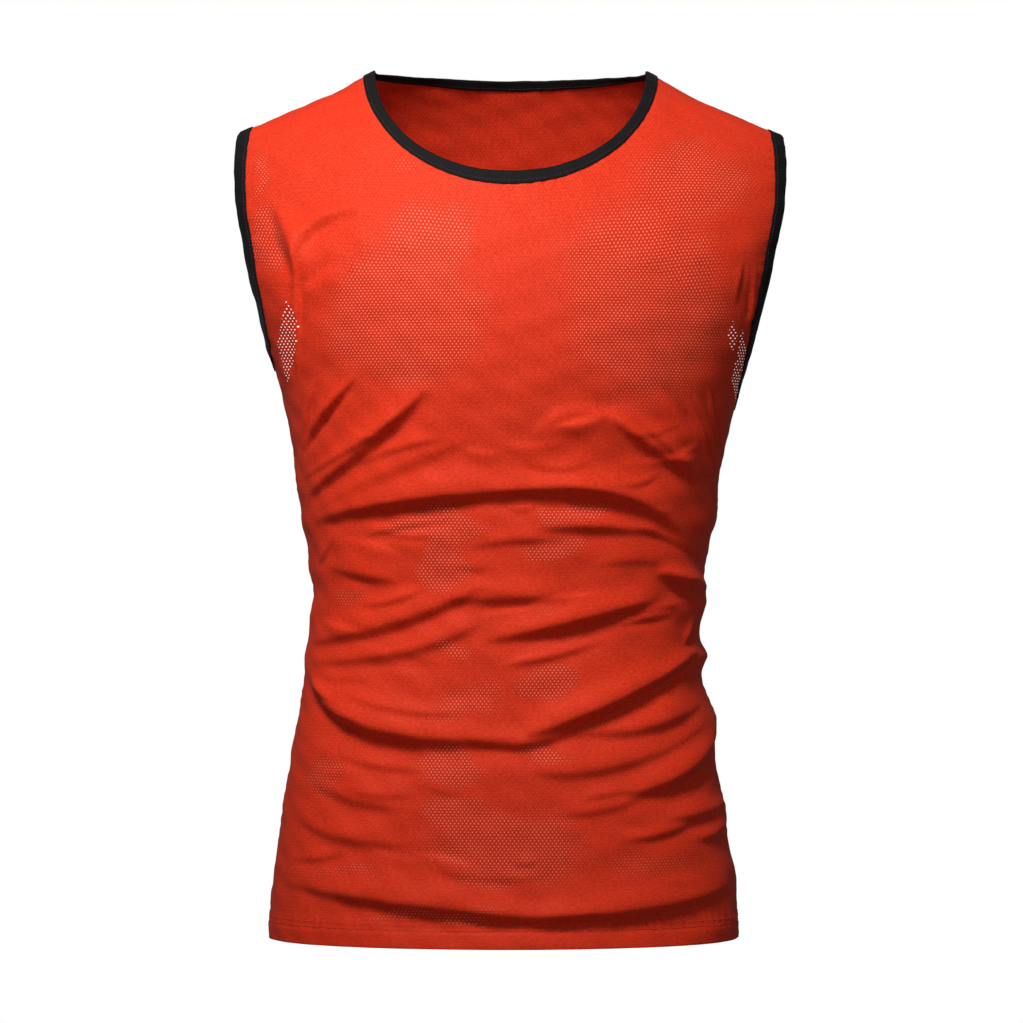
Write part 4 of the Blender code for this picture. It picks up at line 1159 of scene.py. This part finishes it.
# ---- stitches and seams ------------------------------------------------------------
def stitch_shape():
    """One stitch: a small spindle, its length along x, of radius and length 1."""
    sides = STITCH_SIDES
    around = np.arange(sides) * 2.0 * math.pi / sides
    points, faces = [(-0.5, 0.0, 0.0)], []
    for place, size in STITCH_RINGS:
        points += [(place, size * math.cos(a), size * math.sin(a)) for a in around]
    points.append((0.5, 0.0, 0.0))
    tip, last_ring = len(points) - 1, len(points) - 1 - sides
    for k in range(sides):
        n = (k + 1) % sides
        faces.append((0, 1 + n, 1 + k))
        faces.append((tip, last_ring + k, last_ring + n))
        for ring in range(1, last_ring, sides):
            faces.append((ring + k, ring + n, ring + sides + n))
            faces.append((ring + k, ring + sides + n, ring + sides + k))
    return np.array(points), np.array(faces)


def spindles(starts, ends, out, radius):
    """A stitch from each start to its end, lying on the side that out points to."""
    forward = ends - starts
    unit = unit_rows(forward)
    sideways = unit_rows(np.cross(unit, out))
    upward = np.cross(sideways, unit)
    shape, shape_faces = stitch_shape()
    points = (starts + ends)[:, None, :] / 2.0
    for k, way in enumerate((forward, radius * sideways, radius * upward)):
        points = points + shape[None, :, k:k + 1] * way[:, None, :]
    first = np.arange(len(starts))[:, None, None] * len(shape)
    return points.reshape(-1, 3), (shape_faces[None] + first).reshape(-1, 3)


def stitches_on(path, out, stitch, closed):
    """Stitches spaced along a path of points, lying on the side that out points to."""
    if closed:
        path, out = np.vstack([path, path[:1]]), np.vstack([out, out[:1]])
    along = run_along(path)
    count = int(along[-1] / stitch.pitch)
    centres = (np.arange(count) + 0.5) * along[-1] / count
    starts, ends = (
        read_columns(path, along, np.clip(centres + reach, 0.0, along[-1]))
        for reach in (-stitch.length / 2.0, stitch.length / 2.0)
    )
    return spindles(starts, ends, read_columns(out, along, centres), stitch.radius)


def join_meshes(parts):
    """Several (points, faces) pairs as one."""
    points, faces, start = [], [], 0
    for some, some_faces in parts:
        points.append(some)
        faces.append(some_faces + start)
        start += len(some)
    return np.vstack(points), np.vstack(faces)


def hem_stitches(face):
    """Both needle rows of one panel's hem, outside and inside."""
    parts = []
    for row in NEEDLE_ROWS:
        down = HEM_DOWN - row
        left, right = (side_place(face, side, down)[0] for side in SIDES)
        across = np.linspace(left + STITCH_START_IN, right - STITCH_START_IN, STITCH_STATIONS)
        downs = np.full(len(across), down)
        out = read_form(face, across, downs).normals
        outer = CLOTH_MIDDLE + HEM_PROUD - NEEDLE_SINK + HEM_STITCH.radius
        inner = CLOTH_MIDDLE + HEM_PROUD - HEM_LAYER_GAP - HEM_STITCH.radius / 2.0
        for lift, way in ((outer, 1.0), (inner, -1.0)):
            path = cloth_at(face, across, downs, lift)
            parts.append(stitches_on(path, out * way, HEM_STITCH, closed=False))
    return join_meshes(parts)


def tape_stitches(tape):
    """The stitch row that holds a binding, outside and inside."""
    parts = []
    into = tape.leg - TAPE_STITCH_IN
    for way in (1.0, -1.0):
        off = way * (TAPE_OFF_CLOTH + TAPE_PLY)
        path = ring_points(tape.kind, tape.side, TAPE_STEP, into, off)
        beyond = ring_points(tape.kind, tape.side, TAPE_STEP, into, off + way * LIFT_PROBE)
        parts.append(stitches_on(path, beyond - path, TAPE_STITCH, closed=True))
    return join_meshes(parts)


def seam_run(kind, side):
    """Flat places along a seam on the back panel, and the direction into the panel."""
    if kind == "side":
        line = side_line(BACK, side, STRIP_STEP)
        line = line[line[:, 1] > line[-1, 1] + ARMHOLE_TAPE]
        into = np.tile([-side, 0.0], (len(line), 1))
    else:
        ends = NECK_HALF + NECK_TAPE, SHOULDER_TIP - ARMHOLE_TAPE
        line = np.array([shoulder_point(side, a) for a in np.linspace(*ends, SHOULDER_STATIONS)])
        into = np.tile([0.0, 1.0], (len(line), 1))
    return line, into


def seam_strip(kind, side):
    """The turned-in seam allowance on the inside, as a thin closed strip."""
    line, into = seam_run(kind, side)
    columns = []
    for off, inwards in zip(STRIP_FACES, (STRIP_ACROSS, STRIP_ACROSS[::-1])):
        for inward in inwards:
            columns.append(cloth_at(BACK, *(line + into * inward).T, CLOTH_MIDDLE + off))
    # the edge at the seam goes on under the front panel, which shuts the seam
    lip = STRIP_LIP / (STRIP_ACROSS[1] - STRIP_ACROSS[0])
    columns[0] = columns[0] + (columns[0] - columns[1]) * lip
    columns[-1] = columns[-1] + (columns[-1] - columns[-2]) * lip
    grid = np.stack(columns, axis=1)
    rows, wide = grid.shape[:2]
    numbers = np.arange(rows * wide).reshape(rows, wide)
    quads = grid_quads(np.hstack([numbers, numbers[:, :1]]))
    return grid.reshape(-1, 3), np.vstack([quads[:, [0, 1, 2]], quads[:, [0, 2, 3]]])


def overlock_thread(kind, side):
    """Zigzag thread round the seam allowance's free edge."""
    line, into = seam_run(kind, side)
    along = run_along(line)
    count = int(along[-1] / OVERLOCK_PITCH) * 2
    place = read_columns(line, along, np.linspace(0.0, along[-1], count))
    reach = np.where(np.arange(count) % 2 == 0, *OVERLOCK_TURNS)
    place = place + into[0] * reach[:, None]
    path = cloth_at(BACK, *place.T, CLOTH_MIDDLE + OVERLOCK_LIFT)
    inward = -read_form(BACK, *place.T).normals
    return spindles(path[:-1], path[1:], inward[:-1], OVERLOCK_THREAD)


# ---- materials -----------------------------------------------------------------------
def linear(hex_colour):
    """An sRGB hex colour as linear red, green, blue and alpha."""
    parts = [int(hex_colour[i:i + 2], 16) / 255.0 for i in (1, 3, 5)]
    return [((p + 0.055) / 1.055) ** 2.4 if p > 0.04045 else p / 12.92 for p in parts] + [1.0]


def fill_inputs(tree, made, inputs):
    """Links the inputs that are given a socket, and sets the others."""
    for name, value in inputs.items():
        if isinstance(value, bpy.types.NodeSocket):
            tree.links.new(value, made.inputs[name])
        else:
            made.inputs[name].default_value = value


def node(tree, kind, inputs=None, **settings):
    """Adds a node with its settings, and its inputs given by name."""
    made = tree.nodes.new("ShaderNode" + kind)
    for name, value in settings.items():
        setattr(made, name, value)
    fill_inputs(tree, made, inputs or {})
    return made


def new_material(name):
    """A material with an empty tree but for its Principled shader and output."""
    material = bpy.data.materials.new(name)
    material.use_nodes = True
    tree = material.node_tree
    return material, tree, tree.nodes["Principled BSDF"]


def to_nearest_eyelet(tree, place, squeeze):
    """Millimetres to the nearest eyelet's centre, in a net of staggered rows."""
    distances = []
    for shift in (0.0, 0.5):
        per_metre = (squeeze / EYELET_ACROSS, 1.0 / EYELET_DOWN, 0.0)
        cells = node(
            tree, "VectorMath", {0: place, 1: per_metre, 2: (shift, shift, 0.0)},
            operation="MULTIPLY_ADD",
        )
        within = node(tree, "VectorMath", {0: cells.outputs[0]}, operation="FRACTION")
        centred = node(
            tree, "VectorMath", {0: within.outputs[0], 1: (0.5, 0.5, 0.0)}, operation="SUBTRACT"
        )
        sized = node(
            tree, "VectorMath",
            {0: centred.outputs[0], 1: (EYELET_ACROSS * 1000.0, EYELET_DOWN * 1000.0, 0.0)},
            operation="MULTIPLY",
        )
        length = node(tree, "VectorMath", {0: sized.outputs[0]}, operation="LENGTH")
        distances.append(length.outputs["Value"])
    pair = {0: distances[0], 1: distances[1]}
    return node(tree, "Math", pair, operation="MINIMUM").outputs[0]


def red_knit_mesh():
    """Dull polyester yarn, warp-knitted into a net of small staggered eyelets.

    Where the cloth is drawn open, the eyelets are painted as rows of pale dots: painted light that
    stands in for light seen through them. The yarn between them gets painted shade, and the closed
    knit reads as plain saturated red.
    """
    material, tree, shader = new_material("red_knit_mesh")
    place = node(tree, "UVMap", uv_map=UV_NAME).outputs["UV"]
    wander = node(tree, "TexNoise", {"Vector": place, "Scale": 1000.0 / WANDER_MM, "Detail": 1.0})
    shake = node(
        tree, "VectorMath", {0: wander.outputs["Color"], 1: (0.5, 0.5, 0.5)},
        operation="SUBTRACT",
    )
    shake = node(tree, "VectorMath", {0: shake.outputs[0], "Scale": WANDER}, operation="SCALE")
    place = node(tree, "VectorMath", {0: place, 1: shake.outputs[0]}, operation="ADD").outputs[0]
    openness = node(tree, "Attribute", attribute_name=OPENNESS_NAME).outputs["Fac"]
    clearness = node(tree, "Attribute", attribute_name=CLEARNESS_NAME).outputs["Fac"]
    clear = node(tree, "Math", {0: clearness, 1: CLEAR_EDGE}, operation="GREATER_THAN").outputs[0]
    openness = node(tree, "Math", {0: openness, 1: clear}, operation="MAXIMUM").outputs[0]
    net = to_nearest_eyelet(tree, place, 1.0)
    drawn_net = to_nearest_eyelet(tree, place, DRAWN_WIDE)
    nearest = node(tree, "Mix", {"Factor": clear, "A": net, "B": drawn_net}).outputs["Result"]
    radius = node(
        tree, "MapRange", {0: openness, "To Min": EYELET_SHUT_MM, "To Max": EYELET_OPEN_MM}
    ).outputs[0]
    shrunk = {0: clear, 1: -CLEAR_SHRINK_MM, 2: radius}
    radius = node(tree, "Math", shrunk, operation="MULTIPLY_ADD").outputs[0]
    past_rim = node(tree, "Math", {0: nearest, 1: radius}, operation="SUBTRACT").outputs[0]
    rim_in, rim_out = EYELET_RIM_MM
    eyelet = node(
        tree, "MapRange",
        {0: past_rim, "From Min": rim_in, "From Max": rim_out, "To Min": 1.0, "To Max": 0.0},
        interpolation_type="SMOOTHSTEP",
    ).outputs[0]
    # painted shade: the yarn is painted darker away from the eyelets, and wherever the net is drawn
    # open
    painted_shade = node(
        tree, "MapRange", {0: past_rim, "From Max": RIM_SHADE_MM},
        interpolation_type="SMOOTHSTEP",
    ).outputs[0]
    painted_shade = node(tree, "Math", {0: painted_shade, 1: RIM_SHADE, 2: openness}, operation="MULTIPLY_ADD")
    painted_shade = node(tree, "Math", {0: painted_shade.outputs[0], 1: PAINTED_SHADE_SHARE}, operation="MULTIPLY").outputs[0]
    per_slub = (1000.0 / SLUB_MM[0], 1000.0 / SLUB_MM[1], 1.0)
    slubs = node(tree, "Mapping", {"Vector": place, "Scale": per_slub})
    cloudy = node(tree, "TexNoise", {"Vector": slubs.outputs[0], "Scale": 1.0, "Detail": 2.0})
    yarn = node(
        tree, "MixRGB",
        {"Fac": cloudy.outputs["Fac"], "Color1": linear("#C6200B"), "Color2": linear("#FF4828")},
    )
    painted_shade_yarn = node(
        tree, "MixRGB", {"Fac": painted_shade, "Color1": yarn.outputs[0], "Color2": linear("#B01407")}
    )
    # painted light: in open knit the eyelets are painted pale, standing in for light seen through
    # them
    shut, drawn = PALE_OPENNESS
    paleness = node(
        tree, "MapRange", {0: openness, "From Min": shut, "From Max": drawn, "To Max": PALEST}
    ).outputs[0]
    pale = node(tree, "Math", {0: eyelet, 1: paleness}, operation="MULTIPLY").outputs[0]
    coloured = node(
        tree, "MixRGB", {"Fac": pale, "Color1": painted_shade_yarn.outputs[0], "Color2": linear("#FF8C70")}
    )
    # painted light: a clear eyelet is painted pale and given a faint painted glow, standing in for
    # the room seen through it
    painted_room_light = node(tree, "Math", {0: eyelet, 1: clear}, operation="MULTIPLY").outputs[0]
    coloured = node(
        tree, "MixRGB", {"Fac": painted_room_light, "Color1": coloured.outputs[0], "Color2": linear("#FFECE6")}
    )
    through = node(
        tree, "MixRGB", {"Fac": painted_room_light, "Color1": linear("#000000"), "Color2": linear("#FFF2EE")}
    )
    sunk, level = NET_RELIEF_MM
    knit_height = node(
        tree, "MapRange", {0: past_rim, "From Min": sunk, "From Max": level},
        interpolation_type="SMOOTHSTEP",
    )
    grain = node(tree, "TexNoise", {"Vector": place, "Scale": 1000.0 / GRAIN_MM, "Detail": 2.0})
    relief = node(
        tree, "Math", {0: grain.outputs["Fac"], 1: GRAIN_SHARE, 2: knit_height.outputs[0]},
        operation="MULTIPLY_ADD",
    )
    bump = node(tree, "Bump", {"Height": relief.outputs[0], "Strength": 0.35, "Distance": 0.0003})
    fill_inputs(tree, shader, {
        "Base Color": coloured.outputs[0],
        "Emission Color": through.outputs[0],
        "Emission Strength": CLEAR_GLOW,
        "Normal": bump.outputs[0],
        "Roughness": 0.60,
        "Sheen Weight": 0.04,
        "Sheen Roughness": 0.5,
        "Sheen Tint": linear("#FFB0A0"),
        "Specular IOR Level": 0.22,
        "Specular Tint": linear("#FFC0A8"),
    })
    return material


def black_binding_tape():
    """Black polyester rib tape: it looks matt, with fine ribs across its width."""
    material, tree, shader = new_material("black_binding_tape")
    place = node(tree, "UVMap", uv_map=UV_NAME).outputs["UV"]
    per_rib = 2.0 * math.pi / WAVE_TURNS * 1000.0 / RIB_MM
    ribs = node(
        tree, "TexWave",
        {"Vector": place, "Scale": per_rib, "Distortion": 0.6, "Detail Scale": 3.0},
        bands_direction="X",
    )
    lint = node(tree, "TexNoise", {"Vector": place, "Scale": 1000.0 / LINT_MM, "Detail": 2.0})
    colour = node(
        tree, "MixRGB",
        {"Fac": ribs.outputs["Fac"], "Color1": linear("#080607"), "Color2": linear("#130F11")},
    )
    relief = node(
        tree, "Math", {0: lint.outputs["Fac"], 1: LINT_SHARE, 2: ribs.outputs["Fac"]},
        operation="MULTIPLY_ADD",
    )
    bump = node(tree, "Bump", {"Height": relief.outputs[0], "Strength": 0.5, "Distance": 0.0002})
    fill_inputs(tree, shader, {
        "Base Color": colour.outputs[0],
        "Normal": bump.outputs[0],
        "Roughness": 0.78,
        "Sheen Weight": 0.05,
        "Sheen Roughness": 0.4,
        "Specular IOR Level": 0.20,
    })
    return material


def sewing_thread(name, dark, light):
    """Spun polyester thread: a slight shine, and the twist as fine slanted bands."""
    material, tree, shader = new_material(name)
    place = node(tree, "TexCoord").outputs["Object"]
    per_turn = 4.0 * math.pi / WAVE_TURNS * 1000.0 / TWIST_MM
    twist = node(
        tree, "TexWave", {"Vector": place, "Scale": per_turn}, bands_direction="DIAGONAL"
    )
    colour = node(
        tree, "MixRGB",
        {"Fac": twist.outputs["Fac"], "Color1": linear(dark), "Color2": linear(light)},
    )
    fill_inputs(tree, shader, {"Base Color": colour.outputs[0], "Roughness": 0.5})
    return material


def pale_floor_paint():
    """Matt studio paint, almost white, that glows a little so that it looks pale all over."""
    material, tree, shader = new_material("pale_floor")
    place = node(tree, "TexCoord").outputs["Object"]
    per_cloud = 1000.0 / FLOOR_CLOUD_MM
    cloudy = node(tree, "TexNoise", {"Vector": place, "Scale": per_cloud, "Detail": 2.0})
    colour = node(
        tree, "MixRGB",
        {"Fac": cloudy.outputs["Fac"], "Color1": linear("#EDEBE8"), "Color2": linear("#F3F2EF")},
    )
    fill_inputs(tree, shader, {
        "Base Color": colour.outputs[0],
        "Emission Color": colour.outputs[0],
        "Emission Strength": FLOOR_GLOW,
        "Roughness": 0.9,
    })
    return material


# ---- the studio ----------------------------------------------------------------------
def build_floor():
    """A plain square floor below the bib, whose glow doesn't light the cloth."""
    signs = ((-1, -1), (1, -1), (1, 1), (-1, 1))
    corners = [(x * FLOOR_HALF, y * FLOOR_HALF, -FLOOR_DROP) for x, y in signs]
    floor = new_piece("studio_floor", corners, [(0, 1, 2, 3)], pale_floor_paint())
    floor.visible_diffuse = False
    floor.visible_glossy = False


# each lamp: place, height on the middle line aimed at, size, spread in degrees, watts
Lamp = namedtuple("Lamp", "name x y z aim size spread power")
LAMPS = [
    Lamp("key_lamp", -0.42, -1.20, 1.00, -0.20, 0.6, 70.0, 5.1),
    Lamp("front_lamp", 0.30, -3.20, 0.20, -0.30, 1.2, 60.0, 1.3),
    Lamp("rear_lamp", 0.00, 1.85, -0.12, -0.30, 0.6, 70.0, 5.6),
]


def build_studio():
    """The floor, a pale backdrop that gives little light, and three soft lamps."""
    build_floor()
    world = bpy.data.worlds.new("pale_studio")
    world.use_nodes = True
    tree = world.node_tree
    rays = node(tree, "LightPath")
    strength = node(
        tree, "MapRange",
        {0: rays.outputs["Is Camera Ray"], "To Min": SKY_STRENGTH, "To Max": BACKDROP_STRENGTH},
    )
    tree.links.new(strength.outputs[0], tree.nodes["Background"].inputs["Strength"])
    tree.nodes["Background"].inputs["Color"].default_value = linear("#FFFFFF")
    bpy.context.scene.world = world
    for lamp in LAMPS:
        light = bpy.data.lights.new(lamp.name, "AREA")
        light.shape = "DISK"
        light.size = lamp.size
        light.spread = math.radians(lamp.spread)
        light.energy = lamp.power
        shown = bpy.data.objects.new(lamp.name, light)
        shown.location = (lamp.x, lamp.y, lamp.z)
        aim = Vector((0.0, 0.0, lamp.aim)) - shown.location
        shown.rotation_euler = aim.to_track_quat("-Z", "Y").to_euler()
        bpy.context.scene.collection.objects.link(shown)
    bpy.context.scene.view_settings.view_transform = "Standard"


def build_camera():
    """Level with the middle of the bib, straight in front, as the photograph was taken."""
    lens = bpy.data.cameras.new("front_camera")
    lens.sensor_width = CAMERA_SENSOR_MM
    lens.sensor_fit = "HORIZONTAL"
    lens.lens = CAMERA_SENSOR_MM * CAMERA_DISTANCE / (PHOTO_PIXELS * METRES_PER_PIXEL)
    lens.clip_start = 0.05
    camera = bpy.data.objects.new("front_camera", lens)
    camera.location = (CAMERA_X, -CAMERA_DISTANCE, CAMERA_HEIGHT)
    camera.rotation_euler = (math.pi / 2.0, 0.0, 0.0)
    bpy.context.scene.collection.objects.link(camera)
    bpy.context.scene.camera = camera


def main():
    """Builds the bib's cloth, bindings and sewing round the solids' frame."""
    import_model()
    build_camera()
    build_studio()
    mesh_cloth = red_knit_mesh()
    tape_cloth = black_binding_tape()
    red_thread = sewing_thread("red_sewing_thread", "#C4200F", "#F0503A")
    black_thread = sewing_thread("black_sewing_thread", "#171214", "#352D30")

    front = build_panel("front_cloth", FRONT, mesh_cloth)
    back = build_panel("back_cloth", BACK, mesh_cloth)
    front_hem = new_piece("front_hem_stitches", *hem_stitches(FRONT), red_thread)
    back_hem = new_piece("back_hem_stitches", *hem_stitches(BACK), red_thread)
    seams = [(kind, side) for kind in ("side", "shoulder") for side in SIDES]
    strips = join_meshes([seam_strip(*seam) for seam in seams])
    strips = new_piece("inside_seam_allowances", *strips, mesh_cloth)
    loops = join_meshes([overlock_thread(*seam) for seam in seams])
    loops = new_piece("inside_overlock_thread", *loops, red_thread)
    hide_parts("front_panel")
    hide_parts("back_panel")

    pieces = [front, back, front_hem, back_hem, strips, loops]
    for tape in TAPES:
        ring = build_tape(tape, tape_cloth)
        rows = new_piece(tape.name + "_stitches", *tape_stitches(tape), black_thread)
        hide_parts(tape.solid)
        tape_cut(tape)
        pieces += [ring, rows]
    for piece in pieces:
        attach(piece, "root")


main()
